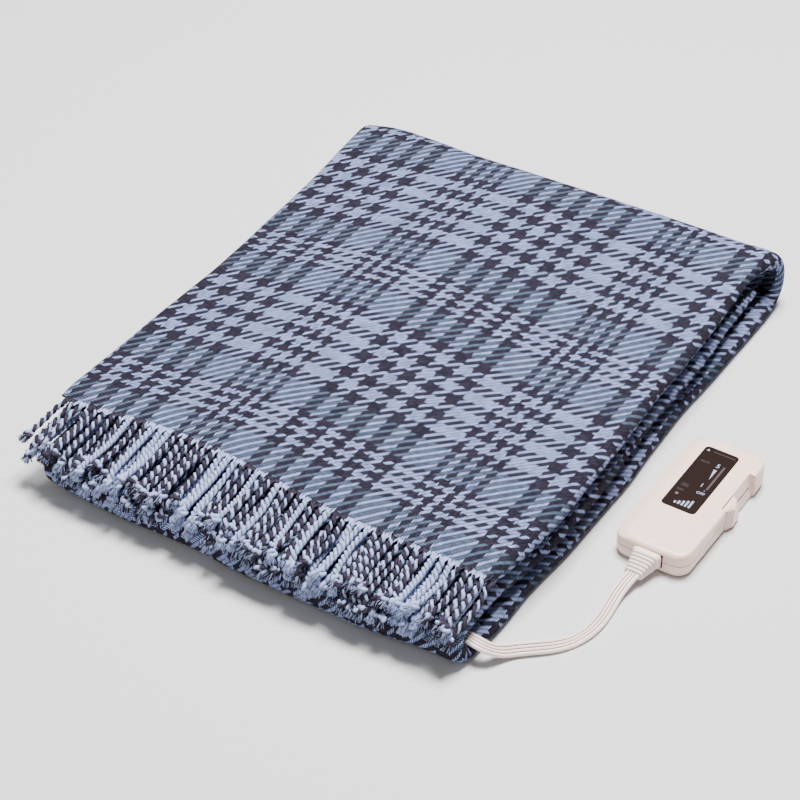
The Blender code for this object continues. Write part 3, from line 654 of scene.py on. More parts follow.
def wovenCheck():
    # brushed acrylic yarn in a 3/3 twill: matte, a little hairy, each float a small soft ridge
    material, tree, shader = newMaterial("brushedAcrylicTwill", {
        "Roughness": 0.95, "Specular IOR Level": 0.0, "Sheen Weight": 0.02, "Sheen Roughness": 0.6})
    uv = addNode(tree, "ShaderNodeUVMap", uv_map="weave")
    waver = addNode(tree, "ShaderNodeTexNoise", {
        "Vector": uv, "Scale": weave["waver scale"], "Detail": 2.0})
    shift = addNode(tree, "ShaderNodeVectorMath", {
        0: waver.outputs["Color"], 1: (0.5, 0.5, 0.5)}, operation="SUBTRACT")
    moved = addNode(tree, "ShaderNodeVectorMath", {
        0: shift, 1: (2 * weave["yarn waver"],) * 3, 2: uv}, operation="MULTIPLY_ADD")
    # which warp end and weft pick lie here, and how far into them
    place = addNode(tree, "ShaderNodeVectorMath", {
        0: moved, 1: (weave["warp start"], weave["weft start"], 0.0)}, operation="SUBTRACT")
    place = addNode(tree, "ShaderNodeVectorMath", {
        0: place, 1: (weave["end"], weave["pick"], 1.0)}, operation="DIVIDE")
    whole = addNode(tree, "ShaderNodeVectorMath", {0: place}, operation="FLOOR")
    part = addNode(tree, "ShaderNodeVectorMath", {0: place}, operation="FRACTION")
    end, pick, _ = addNode(tree, "ShaderNodeSeparateXYZ", {0: whole}).outputs
    endPart, pickPart, _ = addNode(tree, "ShaderNodeSeparateXYZ", {0: part}).outputs
    # 0 to 5: where this crossing stands in the twill; the warp lies on top in the first three
    order = addNode(tree, "ShaderNodeMath", {0: end, 1: pick}, operation="SUBTRACT")
    order = addNode(tree, "ShaderNodeMath", {0: order, 1: 6.0}, operation="FLOORED_MODULO")
    weftUp = addNode(tree, "ShaderNodeMath", {0: order, 1: 2.5}, operation="GREATER_THAN")
    # along a float, 0 to 3, and across it, 0 to 1
    ways = []
    for one, two, partial in ((2.0, order, pickPart), (order, 3.0, endPart)):
        way = addNode(tree, "ShaderNodeMath", {0: one, 1: two}, operation="SUBTRACT")
        ways.append(addNode(tree, "ShaderNodeMath", {0: way, 1: partial}, operation="ADD"))
    along = addNode(tree, "ShaderNodeMix", {"Factor": weftUp, "A": ways[0], "B": ways[1]})
    across = addNode(tree, "ShaderNodeMix", {"Factor": weftUp, "A": endPart, "B": pickPart})
    ridges = []
    for distance, (stretchBy, fullness) in zip((along, across), weave["ridge"]):
        swing = addNode(tree, "ShaderNodeMath", {0: distance, 1: stretchBy}, operation="MULTIPLY")
        swing = addNode(tree, "ShaderNodeMath", {0: swing}, operation="SINE")
        ridges.append(addNode(tree, "ShaderNodeMath", {0: swing, 1: fullness}, operation="POWER"))
    height = addNode(tree, "ShaderNodeMath", {0: ridges[0], 1: ridges[1]}, operation="MULTIPLY")
    tone = addNode(tree, "ShaderNodeMix", {
        "Factor": weftUp, "A": yarnRamp(tree, warpOrder, end), "B": yarnRamp(tree, weftOrder, pick)},
        data_type="RGBA")
    # painted shade: the gaps between the yarns are darker and each float is lighter on its crown; no two
    # yarns took the dye alike
    sunk = addNode(tree, "ShaderNodeMapRange", {
        "Value": height, "From Min": 0.28, "From Max": 0.92, "To Min": 1.0, "To Max": 0.0})
    tone = addNode(tree, "ShaderNodeMix", {
        "Factor": sunk, "A": tone, "B": fromHex(weave["gap"])}, data_type="RGBA")
    shade = addNode(tree, "ShaderNodeMapRange", {
        "Value": height, "From Min": 0.4, "From Max": 0.98, "To Min": 0.9, "To Max": 1.25})
    # every float has its own number, and with it its own shade
    reached = addNode(tree, "ShaderNodeMath", {0: along}, operation="FLOOR")
    ends = addNode(tree, "ShaderNodeMath", {0: weftUp, 1: reached}, operation="MULTIPLY")
    picks = addNode(tree, "ShaderNodeMath", {0: reached, 1: ends}, operation="SUBTRACT")
    firstEnd = addNode(tree, "ShaderNodeMath", {0: end, 1: ends}, operation="SUBTRACT")
    firstPick = addNode(tree, "ShaderNodeMath", {0: pick, 1: picks}, operation="SUBTRACT")
    number = addNode(tree, "ShaderNodeCombineXYZ", {0: firstEnd, 1: firstPick, 2: weftUp})
    own = addNode(tree, "ShaderNodeTexWhiteNoise", {"Vector": number})
    fuzz = addNode(tree, "ShaderNodeTexNoise", {
        "Vector": uv, "Scale": weave["fuzz scale"], "Detail": 3.0, "Roughness": 0.7})
    patch = addNode(tree, "ShaderNodeTexNoise", {
        "Vector": uv, "Scale": weave["patch scale"], "Detail": 2.0})
    for cause, least, most, (darkest, palest) in (
        (own, 0.0, 1.0, weave["float shade"]),
        (fuzz, 0.3, 0.7, weave["fuzz shade"]),
        (patch, 0.3, 0.7, weave["patch shade"]),
    ):
        change = addNode(tree, "ShaderNodeMapRange", {
            "Value": cause, "From Min": least, "From Max": most, "To Min": darkest, "To Max": palest})
        shade = addNode(tree, "ShaderNodeMath", {0: shade, 1: change}, operation="MULTIPLY")
    finished = addNode(tree, "ShaderNodeVectorMath", {0: tone, "Scale": shade}, operation="SCALE")
    lift = addNode(tree, "ShaderNodeMath", {0: fuzz, 1: 0.25, 2: height}, operation="MULTIPLY_ADD")
    bump = addNode(tree, "ShaderNodeBump", {"Height": lift, "Strength": 0.8, "Distance": 0.0005})
    feed(tree, shader, {"Base Color": finished, "Normal": bump})
    return material


foldedBlanket = makeCloth(wovenCheck())
dress(foldedBlanket, "blanket")
print("cloth folded,", len(foldedBlanket.data.polygons), "faces")


fringe = {
    "strands": 55,  # in each of the two rows
    "guide half": 0.0021,
    "guide points": 18,
    "clear": 0.0012,
    "row rise": 0.0050,
    "lift": 0.0022,
    "inset": 0.0030,
    "right inset": 0.0024,
    "gap": 0.0007,
    "strip": 0.0048,
    "rest ahead": 0.014,
    "rest rise": 0.25,
    "first wrap": math.radians(12),
    "upper knot": math.radians(31),
    "lower knot": math.radians(51),
    "knot spread": math.radians(13),
    "sway": 0.0048,
    "bow": 0.0032,
    "bow halfway": 0.6,  # share of the bow between a strand's root and where it comes to rest
    "loose": 3,  # the first strands hang away from the rest
    "loose sway": 1.2,
    "ply reach": 0.25,  # how far beside its middle a strand's two plies take their yarns
    "mostly dark": 0.7,  # share of dark yarns beside a light strand that gives it a dark ply
    "ply radius": 0.00160,
    "ply offset": 0.00132,
    "lay length": -0.0092,  # one full turn of the two plies, laid the other way from a screw
    "lay spread": 0.24,
    "thick spread": 0.11,
    "second ply": 0.74,  # how thick the odd-coloured ply of a mixed strand is, against the other
    "second spread": 0.1,
    "point spacing": 0.0011,
    "fibres": 52,
    "fibre length": 0.0074,
    "fibre spread": (0.88, 1.1),  # least and most share of that length
    # along a fibre: height, bend, width, and how much painted shade it gets deep in the tuft
    "fibre rows": ((0.0, 0.0, 0.046, 0.7), (0.5, 0.04, 0.048, 0.3), (1.0, 0.15, 0.040, 0.0)),
    "tuft spread": 0.31,
    "tuft root": 0.0046,
    "tuft lean": 0.11,
    "tuft split": 0.52,  # some tufts show mostly the one yarn, some the other
    "knot tube": 0.00165,
    "knot loop": (0.00185, 0.00095, 0.0021),  # width, how far its lobes stand out, height
    "knot wobble": 0.7,
    "root yarns": (-0.0034, -0.0019, -0.0003, 0.0015, 0.0031),
    "root wander": 0.0006,
    "root radius": 0.00072,
    "root inside": 0.0030,
    # a root yarn at the cloth's edge, close to its strand and on it:
    # share of its distance to the side, share of the strip or of the strand's first step, rise
    "root edge": (1.05, 0.85, 0.0002),
    "root close": (0.42, 0.3, 0.0003),
    "root end": (0.2, 0.9, -0.0004),
    "groove": (0.62, -0.30),  # how far a face looks away from the rope: crown, and down in the groove
    "groove shade": 0.22,
    "crown shade": 1.05,
    "nap": 0.0011,
    "nap scale": 620.0,
    "streak scale": 1700.0,
    "streak stretch": (1.0, 0.35, 0.6),
    "streak shade": (0.82, 1.1),
    "patch scale": 130.0,
    "light": "8F9BC2",
    "pale": "A4AFD0",
    "dark": "2A2530",
    "sable": "3C3645",
}
warpTones = [1.0 if yarn == "dark" else 0.0 for yarn, count in warpOrder for _ in range(count)]
# what each guide line carries: its two yarns, the turn and stretch of its lay, how thick it is,
# how thick its second ply is, and whether it is one of the yarns at a root
guideLabels = ("toneOne", "toneTwo", "phase", "layScale", "thickness", "secondPly", "rootLine")
# the fringe tree's inputs; each takes the value of the same name in small letters
treeInputs = {
    "Ply Radius": "Float",
    "Ply Offset": "Float",
    "Lay Length": "Float",
    "Point Spacing": "Float",
    "Knot": "Object",
    "Fibre": "Object",
    "Fibres": "Int",
    "Fibre Length": "Float",
    "Tuft Spread": "Float",
    "Tuft Root": "Float",
    "Root Radius": "Float",
    "Nap": "Float",
    "Nap Scale": "Float",
    "Seed": "Int",
    "Yarn": "Material",
}


def warpTone(x):
    # 0 for a light warp yarn and 1 for a dark one, from the chart
    x -= creepAt(creepAcross, x, creepAcross[0][0])
    return warpTones[math.floor((x - weave["warp start"]) / weave["end"]) % len(warpTones)]


def fringeEnds():
    return sideLimits(readLine(crossLines, 1, 0.0), 0.0)


def strandPath(x, upper, index, seed):
    fringeY, nearY = readLine(crossLines, 1, x), readLine(crossLines, 3, x)
    # the last strands sit on the round of the lengthwise fold
    past = x - (fringeEnds()[1] - cloth["ply"] / 2 - plyOffset)
    offset = math.sqrt(plyOffset ** 2 - min(max(past, 0.0), plyOffset) ** 2)
    rootZ = topHeight(x, 0.0) + (offset if upper else -offset)
    foldZ = lowZ + (middleZ - lowZ) / 2
    radius = foldZ + fringe["clear"] + fringe["guide half"]
    if upper:
        radius += fringe["row rise"] + fringe["lift"] * spread(index, seed + 4)
    knot = fringe["upper knot"] if upper else fringe["lower knot"]
    knot += fringe["knot spread"] * spread(index, seed)
    loose = max(1 - index / fringe["loose"], 0.0)
    sway = fringe["sway"] * (spread(index, seed + 1) - fringe["loose sway"] * loose)
    bow = fringe["bow"] * (spread(index, seed + 2) - loose)
    restY = nearY + fringe["rest ahead"]
    restZ = foldZ + radius + fringe["rest rise"] * (rootZ - foldZ - radius)
    rootY = fringeY - fringe["gap"] - fringe["strip"]
    halfway = (x + bow * fringe["bow halfway"], (rootY + restY) / 2, (rootZ + restZ) / 2)
    points = [(x, rootY, rootZ), halfway, (x + bow, restY, restZ)]
    for angle in (fringe["first wrap"], (fringe["first wrap"] + knot) / 2, knot):
        share = angle / knot
        beside = x + bow * (1 - share) + sway * share
        points.append((beside, nearY - radius * math.sin(angle), foldZ + radius * math.cos(angle)))
    return points


def strandTones(x, step):
    # the two plies' yarns; most strands take in both shades
    one, two = (warpTone(x + side * step * fringe["ply reach"]) for side in (-1, 1))
    near = (warpTone(x - step) + warpTone(x + step)) / 2
    if one == two and (one > 0.5 or near > fringe["mostly dark"]):
        two = 1.0 - one
    return one, two


def guideMesh(name, upper, shift, seed):
    # a line of points for each strand and each of the yarns that gather into its root
    left, right = fringeEnds()
    firstX = left + fringe["inset"]
    step = (right - fringe["right inset"] - firstX) / fringe["strands"]
    strip = fringe["strip"]
    edgeWide, edgeShare, edgeRise = fringe["root edge"]
    closeWide, closeShare, closeRise = fringe["root close"]
    endWide, endShare, endRise = fringe["root end"]
    spots, links = [], []
    layers = {label: [] for label in guideLabels}

    def addLine(line, values):
        for number, point in enumerate(line):
            if number:
                links.append((len(spots) - 1, len(spots)))
            spots.append(point)
            for label, value in zip(guideLabels, values):
                layers[label].append(value)

    for index in range(fringe["strands"]):
        x = firstX + step * (index + 0.5 + shift)
        line, _ = smoothRoute(strandPath(x, upper, index, seed), fringe["guide points"])
        tones = strandTones(x, step)
        lay = 1 + fringe["lay spread"] * spread(index, seed + 8)
        thick = 1 + fringe["thick spread"] * spread(index, seed + 9)
        second = 1.0
        if tones[0] != tones[1]:
            second = fringe["second ply"] + fringe["second spread"] * spread(index, seed + 10)
        addLine(line, (*tones, math.pi * spread(index, seed + 5), lay, thick, second, 0.0))
        root, after = line[0], line[1]
        for number, beside in enumerate(fringe["root yarns"]):
            beside += fringe["root wander"] * spread(index * 7 + number, seed + 6)
            inside = Vector((x + beside, root.y + strip + fringe["root inside"], root.z))
            edge = Vector((x + beside * edgeWide, root.y + strip * edgeShare, root.z + edgeRise))
            close = root.lerp(after, closeShare) + Vector((beside * closeWide, 0, closeRise * (number % 2)))
            end = root.lerp(after, endShare) + Vector((beside * endWide, 0, endRise))
            addLine((inside, edge, close, end), (warpTone(x + beside), 0.0, 0.0, 1.0, 1.0, 1.0, 1.0))
    data = bpy.data.meshes.new(name)
    data.from_pydata(spots, links, [])
    for label, values in layers.items():
        data.attributes.new(label, "FLOAT", "POINT").data.foreach_set("value", values)
    return data


def makeTemplate(name, builder):
    # an object that the fringe tree repeats; it leaves the scene when the fringe is made
    template = bpy.data.objects.new(name, meshOf(name, builder))
    bpy.context.scene.collection.objects.link(template)
    return template


def fibreTemplate():
    # one loose end of yarn, a metre long along Z, bending away and cut blunt; three sides
    builder = bmesh.new()
    sunkLayer = builder.verts.layers.float.new("sunk")
    angles = [2 * math.pi * k / 3 for k in range(3)]
    rows = fringe["fibre rows"]
    outlines = [
        [(bend + wide * math.cos(a), wide * math.sin(a), z) for a in angles] for z, bend, wide, _ in rows]
    for ring, row in zip(loft(builder, outlines), rows):
        for vert in ring:
            vert[sunkLayer] = row[3]
    return makeTemplate("fibreTemplate", builder)


def knotTemplate():
    # an overhand knot drawn tight: a three-lobed closed loop of ply, its axis along Z
    steps, sides, stretch = 30, 6, 5
    width, lobe, height = fringe["knot loop"]
    builder = bmesh.new()
    plyLayer = builder.verts.layers.float.new("plyShare")
    line = []
    for k in range(steps):
        t = 2 * math.pi * k / steps
        wide = width + lobe * math.cos(3 * t)
        line.append(Vector((wide * math.cos(2 * t), wide * math.sin(2 * t), height * math.sin(3 * t))))
    rings = []
    for k in range(steps):
        ahead = (line[(k + 1) % steps] - line[k - 1]).normalized()
        side = ahead.cross(Vector((0, 0, 1))).normalized()
        up = side.cross(ahead)
        ring = []
        for j in range(sides):
            angle = 2 * math.pi * j / sides
            out = (side * math.cos(angle) + up * math.sin(angle)) * fringe["knot tube"]
            ring.append(builder.verts.new(line[k] + out))
            # the two plies show in turn along the loop
            ring[-1][plyLayer] = 1.0 if (k // stretch) % 2 else 0.0
        rings.append(ring)
    joinRings(builder, rings + rings[:1])
    template = makeTemplate("knotTemplate", builder)
    template.data.shade_smooth()
    return template


def strandTree():
    # each guide line becomes a two-ply rope with a knot and a tuft at its end
    tree = bpy.data.node_groups.new("twistedFringe", "GeometryNodeTree")
    ids = {}
    tree.interface.new_socket("Geometry", in_out="INPUT", socket_type="NodeSocketGeometry")
    for label, kind in treeInputs.items():
        socket = tree.interface.new_socket(label, in_out="INPUT", socket_type="NodeSocket" + kind)
        ids[label] = socket.identifier
    tree.interface.new_socket("Geometry", in_out="OUTPUT", socket_type="NodeSocketGeometry")
    given = addNode(tree, "NodeGroupInput").outputs
    lines = addNode(tree, "GeometryNodeMeshToCurve", {0: given["Geometry"]})
    toneOne, toneTwo, phase, layScale, thickness, secondPly, rootLine = (
        addNode(tree, "GeometryNodeInputNamedAttribute", {"Name": label}, data_type="FLOAT")
        for label in guideLabels)
    isRoot = addNode(tree, "FunctionNodeCompare", {
        0: rootLine, 1: 0.5}, data_type="FLOAT", operation="GREATER_THAN")
    parted = addNode(tree, "GeometryNodeSeparateGeometry", {
        "Geometry": lines, "Selection": isRoot}, domain="CURVE")
    rootShape, plyShape = (
        addNode(tree, "GeometryNodeCurvePrimitiveCircle", {"Resolution": 5, "Radius": given[label]})
        for label in ("Root Radius", "Ply Radius"))
    roots = addNode(tree, "GeometryNodeCurveToMesh", {
        "Curve": parted.outputs["Selection"], "Profile Curve": rootShape, "Scale": 1.0, "Fill Caps": True})
    fine = addNode(tree, "GeometryNodeResampleCurve", {
        "Curve": parted.outputs["Inverted"], "Length": given["Point Spacing"]}, mode="LENGTH")
    # two plies turning round the line
    pair = addNode(tree, "GeometryNodeDuplicateElements", {"Geometry": fine, "Amount": 2}, domain="SPLINE")
    ply = pair.outputs["Duplicate Index"]
    reached = addNode(tree, "GeometryNodeSplineParameter").outputs["Length"]
    turns = addNode(tree, "ShaderNodeMath", {0: reached, 1: given["Lay Length"]}, operation="DIVIDE")
    turns = addNode(tree, "ShaderNodeMath", {0: turns, 1: layScale}, operation="MULTIPLY")
    turns = addNode(tree, "ShaderNodeMath", {0: ply, 1: 0.5, 2: turns}, operation="MULTIPLY_ADD")
    angle = addNode(tree, "ShaderNodeMath", {0: turns, 1: 2 * math.pi, 2: phase}, operation="MULTIPLY_ADD")
    normal = addNode(tree, "GeometryNodeInputNormal")
    tangent = addNode(tree, "GeometryNodeInputTangent")
    other = addNode(tree, "ShaderNodeVectorMath", {0: tangent, 1: normal}, operation="CROSS_PRODUCT")
    sides = []
    for way, part in ((normal, "COSINE"), (other, "SINE")):
        share = addNode(tree, "ShaderNodeMath", {0: angle}, operation=part)
        sides.append(addNode(tree, "ShaderNodeVectorMath", {0: way, "Scale": share}, operation="SCALE"))
    around = addNode(tree, "ShaderNodeVectorMath", {0: sides[0], 1: sides[1]}, operation="ADD")
    for label, value, kind in (("plyShare", ply, "FLOAT"), ("awayFromAxis", around, "FLOAT_VECTOR")):
        pair = addNode(tree, "GeometryNodeStoreNamedAttribute", {
            "Geometry": pair, "Name": label, "Value": value}, data_type=kind, domain="POINT")
    swing = addNode(tree, "ShaderNodeMath", {0: thickness, 1: given["Ply Offset"]}, operation="MULTIPLY")
    around = addNode(tree, "ShaderNodeVectorMath", {0: around, "Scale": swing}, operation="SCALE")
    plies = addNode(tree, "GeometryNodeSetPosition", {"Geometry": pair, "Offset": around})
    plyShare = addNode(tree, "GeometryNodeInputNamedAttribute", {"Name": "plyShare"}, data_type="FLOAT")
    slim = addNode(tree, "ShaderNodeMix", {"Factor": plyShare, "A": 1.0, "B": secondPly})
    slim = addNode(tree, "ShaderNodeMath", {0: slim, 1: thickness}, operation="MULTIPLY")
    ropes = addNode(tree, "GeometryNodeCurveToMesh", {
        "Curve": plies, "Profile Curve": plyShape, "Scale": slim, "Fill Caps": True})
    # 1 down in the groove between the plies, 0 on their crowns; the yarn paints shade by it
    away, ahead = (
        addNode(tree, "GeometryNodeInputNamedAttribute", {"Name": label}, data_type="FLOAT_VECTOR")
        for label in ("awayFromAxis", "ahead"))
    facing = addNode(tree, "ShaderNodeVectorMath", {0: normal, 1: away}, operation="DOT_PRODUCT")
    crown, floor = fringe["groove"]
    sunk = addNode(tree, "ShaderNodeMapRange", {
        "Value": facing.outputs["Value"], "From Min": crown, "From Max": floor})
    ropes = addNode(tree, "GeometryNodeStoreNamedAttribute", {
        "Geometry": ropes, "Name": "sunk", "Value": sunk}, data_type="FLOAT", domain="POINT")
    # the brushed yarn is nowhere quite round
    lumps = addNode(tree, "ShaderNodeTexNoise", {"Scale": given["Nap Scale"], "Detail": 1.0})
    nap = lumps
    for operation, value in (("SUBTRACT", 0.5), ("MULTIPLY", given["Nap"])):
        nap = addNode(tree, "ShaderNodeMath", {0: nap, 1: value}, operation=operation)
    nap = addNode(tree, "ShaderNodeVectorMath", {0: normal, "Scale": nap}, operation="SCALE")
    ropes = addNode(tree, "GeometryNodeSetPosition", {"Geometry": ropes, "Offset": nap})
    # the last point of each line carries the knot and the tuft
    last = addNode(tree, "GeometryNodeCurveEndpointSelection", {"Start Size": 0, "End Size": 1})
    led = addNode(tree, "GeometryNodeStoreNamedAttribute", {
        "Geometry": fine, "Name": "ahead", "Value": tangent}, data_type="FLOAT_VECTOR", domain="POINT")
    ends = addNode(tree, "GeometryNodeDuplicateElements", {
        "Geometry": led, "Selection": last, "Amount": 1}, domain="POINT")
    flareSeed, spinSeed, lengthSeed, yarnSeed = (
        addNode(tree, "ShaderNodeMath", {0: given["Seed"], 1: step}, operation="ADD")
        for step in (7.0, 13.0, 19.0, 23.0))
    wobble, flare = (
        addNode(tree, "FunctionNodeRandomValue", {
            "Min": (-most,) * 3, "Max": (most,) * 3, "Seed": seed}, data_type="FLOAT_VECTOR")
        for most, seed in ((fringe["knot wobble"], given["Seed"]), (1.0, flareSeed)))
    spinBy, longer, which = (
        addNode(tree, "FunctionNodeRandomValue", {2: least, 3: most, "Seed": seed}, data_type="FLOAT")
        for least, most, seed in (
            (0.0, 2 * math.pi, spinSeed), (*fringe["fibre spread"], lengthSeed), (0.0, 1.0, yarnSeed)))
    knotAxis = addNode(tree, "ShaderNodeVectorMath", {0: ahead, 1: wobble}, operation="ADD")
    flare = addNode(tree, "ShaderNodeVectorMath", {
        0: flare, "Scale": given["Tuft Spread"]}, operation="SCALE")
    fibreAxis = addNode(tree, "ShaderNodeVectorMath", {0: ahead, 1: flare}, operation="ADD")
    knotTurn, fibreTurn = (
        addNode(tree, "FunctionNodeAlignRotationToVector", {"Vector": way}, axis="Z")
        for way in (knotAxis, fibreAxis))
    knotShape, fibreShape = (
        addNode(tree, "GeometryNodeObjectInfo", {"Object": given[label]}).outputs["Geometry"]
        for label in ("Knot", "Fibre"))
    knots = addNode(tree, "GeometryNodeInstanceOnPoints", {
        "Points": ends, "Instance": knotShape, "Rotation": knotTurn})
    many = addNode(tree, "GeometryNodeDuplicateElements", {
        "Geometry": ends, "Amount": given["Fibres"]}, domain="POINT")
    beside = addNode(tree, "ShaderNodeVectorMath", {0: flare, "Scale": given["Tuft Root"]}, operation="SCALE")
    many = addNode(tree, "GeometryNodeSetPosition", {"Geometry": many, "Offset": beside})
    spin = addNode(tree, "FunctionNodeAxisAngleToRotation", {"Axis": (0, 0, 1), "Angle": spinBy})
    fibreTurn = addNode(tree, "FunctionNodeRotateRotation", {0: fibreTurn, 1: spin}, rotation_space="LOCAL")
    size = addNode(tree, "ShaderNodeMath", {0: longer, 1: given["Fibre Length"]}, operation="MULTIPLY")
    tufts = addNode(tree, "GeometryNodeInstanceOnPoints", {
        "Points": many, "Instance": fibreShape, "Rotation": fibreTurn, "Scale": size})
    # each fibre is of the one yarn or the other
    leaning = addNode(tree, "ShaderNodeMath", {
        0: phase, 1: fringe["tuft lean"], 2: which}, operation="MULTIPLY_ADD")
    isTwo = addNode(tree, "ShaderNodeMath", {0: leaning, 1: fringe["tuft split"]}, operation="GREATER_THAN")
    tufts = addNode(tree, "GeometryNodeStoreNamedAttribute", {
        "Geometry": tufts, "Name": "plyShare", "Value": isTwo}, data_type="FLOAT", domain="INSTANCE")
    joined = addNode(tree, "GeometryNodeJoinGeometry")
    for part in (tufts, knots, ropes, roots):
        feed(tree, joined, {0: part})
    solid = addNode(tree, "GeometryNodeRealizeInstances", {"Geometry": joined})
    tone = addNode(tree, "ShaderNodeMix", {"Factor": plyShare, "A": toneOne, "B": toneTwo})
    toned = addNode(tree, "GeometryNodeStoreNamedAttribute", {
        "Geometry": solid, "Name": "tone", "Value": tone}, data_type="FLOAT", domain="POINT")
    smooth = addNode(tree, "GeometryNodeSetShadeSmooth", {"Geometry": toned})
    dressed = addNode(tree, "GeometryNodeSetMaterial", {"Geometry": smooth, "Material": given["Yarn"]})
    addNode(tree, "NodeGroupOutput", {0: dressed})
    return tree, ids


def bakeNodes(name, data, tree, ids, values):
    # runs the tree on a guide mesh and keeps the result as a plain mesh
    holder = bpy.data.objects.new(name + "Guide", data)
    bpy.context.scene.collection.objects.link(holder)
    modifier = holder.modifiers.new("nodes", "NODES")
    modifier.node_group = tree
    for label, identifier in ids.items():
        modifier[identifier] = values[label.lower()]
    bpy.context.view_layer.update()
    graph = bpy.context.evaluated_depsgraph_get()
    made = bpy.data.meshes.new_from_object(holder.evaluated_get(graph))
    made.name = name
    holder.modifiers.remove(modifier)
    bpy.data.objects.remove(holder)
    return made


def twistedYarn():
    # two-ply acrylic yarn, twisted and brushed: matte, streaked along its fibres
    material, tree, shader = newMaterial("twistedAcrylicYarn", {
        "Roughness": 0.95, "Specular IOR Level": 0.0, "Sheen Weight": 0.02, "Sheen Roughness": 0.6})
    place = addNode(tree, "ShaderNodeTexCoord").outputs["Object"]
    tone, sunk = (
        addNode(tree, "ShaderNodeAttribute", attribute_name=label).outputs["Fac"]
        for label in ("tone", "sunk"))
    stretched = addNode(tree, "ShaderNodeMapping", {"Vector": place, "Scale": fringe["streak stretch"]})
    fibres = addNode(tree, "ShaderNodeTexNoise", {
        "Vector": stretched, "Scale": fringe["streak scale"], "Detail": 3.0})
    patch = addNode(tree, "ShaderNodeTexNoise", {"Vector": place, "Scale": fringe["patch scale"]})
    light, dark = (
        addNode(tree, "ShaderNodeMix", {
            "Factor": patch, "A": fromHex(fringe[one]), "B": fromHex(fringe[two])}, data_type="RGBA")
        for one, two in (("light", "pale"), ("dark", "sable")))
    colour = addNode(tree, "ShaderNodeMix", {"Factor": tone, "A": light, "B": dark}, data_type="RGBA")
    darkest, palest = fringe["streak shade"]
    streak = addNode(tree, "ShaderNodeMapRange", {
        "Value": fibres, "From Min": 0.3, "From Max": 0.7, "To Min": darkest, "To Max": palest})
    # painted shade down in the groove between the plies and at a tuft's root, a little painted light on the
    # crowns
    groove = addNode(tree, "ShaderNodeMapRange", {
        "Value": sunk, "To Min": fringe["crown shade"], "To Max": fringe["groove shade"]})
    shade = addNode(tree, "ShaderNodeMath", {0: streak, 1: groove}, operation="MULTIPLY")
    finished = addNode(tree, "ShaderNodeVectorMath", {0: colour, "Scale": shade}, operation="SCALE")
    bump = addNode(tree, "ShaderNodeBump", {"Height": fibres, "Strength": 0.6, "Distance": 0.0003})
    feed(tree, shader, {"Base Color": finished, "Normal": bump})
    return material


def makeFringe():
    yarn, fibre, knot = twistedYarn(), fibreTemplate(), knotTemplate()
    tree, ids = strandTree()
    pieces = []
    for name, upper, shift, seed in (("fringeUpper", True, 0.0, 3), ("fringeLower", False, 0.5, 11)):
        guide = guideMesh(name + "Lines", upper, shift, seed)
        values = {**fringe, "yarn": yarn, "fibre": fibre, "knot": knot, "seed": seed}
        pieces.append(makePiece(name, bakeNodes(name, guide, tree, ids, values), yarn))
    for template in (fibre, knot):
        bpy.data.objects.remove(template)
    return pieces


fringePieces = makeFringe()
for piece, node in zip(fringePieces, ("fringe_upper", "fringe_lower")):
    dress(piece, node)
print("fringe twisted")


controller = {
    "left": 0.2338,
    "right": 0.2979,
    "near": -0.0675,
    "far": 0.0724,
    "corner": 0.0120,
    "corner steps": 9,
    "toe in": 0.0014,  # how much the right side draws in, nearer than the recess
    "side bow": 0.0005,
    "near bow": 0.0010,
    "far bow": 0.0018,
    "bow steps": 8,
    "height": 0.0225,
    "recess near": -0.0012,
    "recess far": 0.0475,
    "wall low": 0.2962,
    "wall top": 0.2924,
    "wall corner": 0.0005,
    "corner cut": (0.6, 0.4),  # shares of the wall corner: at the case's side, in the recess
    "wall step": 0.1,  # share of the joint's depth
    "wall lip": 0.0004,
    "lip depth": 0.0013,
    "rim steps": 14,
    "shoulder": 0.0086,  # how far in the left shoulder reaches
    "shoulder low": 0.0184,
    "shoulder rounding": 0.3,
    "shoulder corner": 0.45,
    "crisp": 0.28,  # share of the rounding left at the right edge
    "crisp low": 0.0126,
    "tone": "F2D3C7",
    "warm tone": "EBC9BC",
    "cloud scale": 28.0,
    "grain scale": 2600.0,
    "painted shade tone": "3A2723",
    "shadow tone": "4A332E",
}
# how far the outline is drawn in, height; a dark joint stays between the two shells
baseRims = (
    (0.0060, 0.0), (0.0046, 0.0), (0.0026, 0.0007), (0.0010, 0.0022), (0.0001, 0.0046),
    (0.0, 0.0080), (0.0, 0.01125),
)
baseLip = ((0.0003, 0.0115), (0.0013, 0.0115), (0.0013, 0.0124))
topLip = ((0.0013, 0.01185), (0.0003, 0.01185))
topRims = (
    (0.0, 0.0121), (0.0, 0.0150), (0.0001, 0.0177), (0.0007, 0.0199), (0.0020, 0.0214),
    (0.0046, 0.0225), (0.0056, 0.0225),
)


def recessWall(height):
    share = height / controller["height"]
    return controller["wall low"] + (controller["wall top"] - controller["wall low"]) * share


def cornerArc(x, y, radius, start, steps):
    angles = [math.radians(start + 90 * k / steps) for k in range(steps + 1)]
    return [(x + radius * math.cos(a), y + radius * math.sin(a)) for a in angles]


def bowedEdge(start, end, bow):
    # points between two corners, pushed out to the right of the way they run
    (x0, y0), (x1, y1) = start, end
    wide, long = x1 - x0, y1 - y0
    size = math.hypot(wide, long)
    points = []
    for k in range(1, controller["bow steps"]):
        t = k / controller["bow steps"]
        out = bow * math.sin(math.pi * t)
        points.append((x0 + wide * t + out * long / size, y0 + long * t - out * wide / size))
    return points


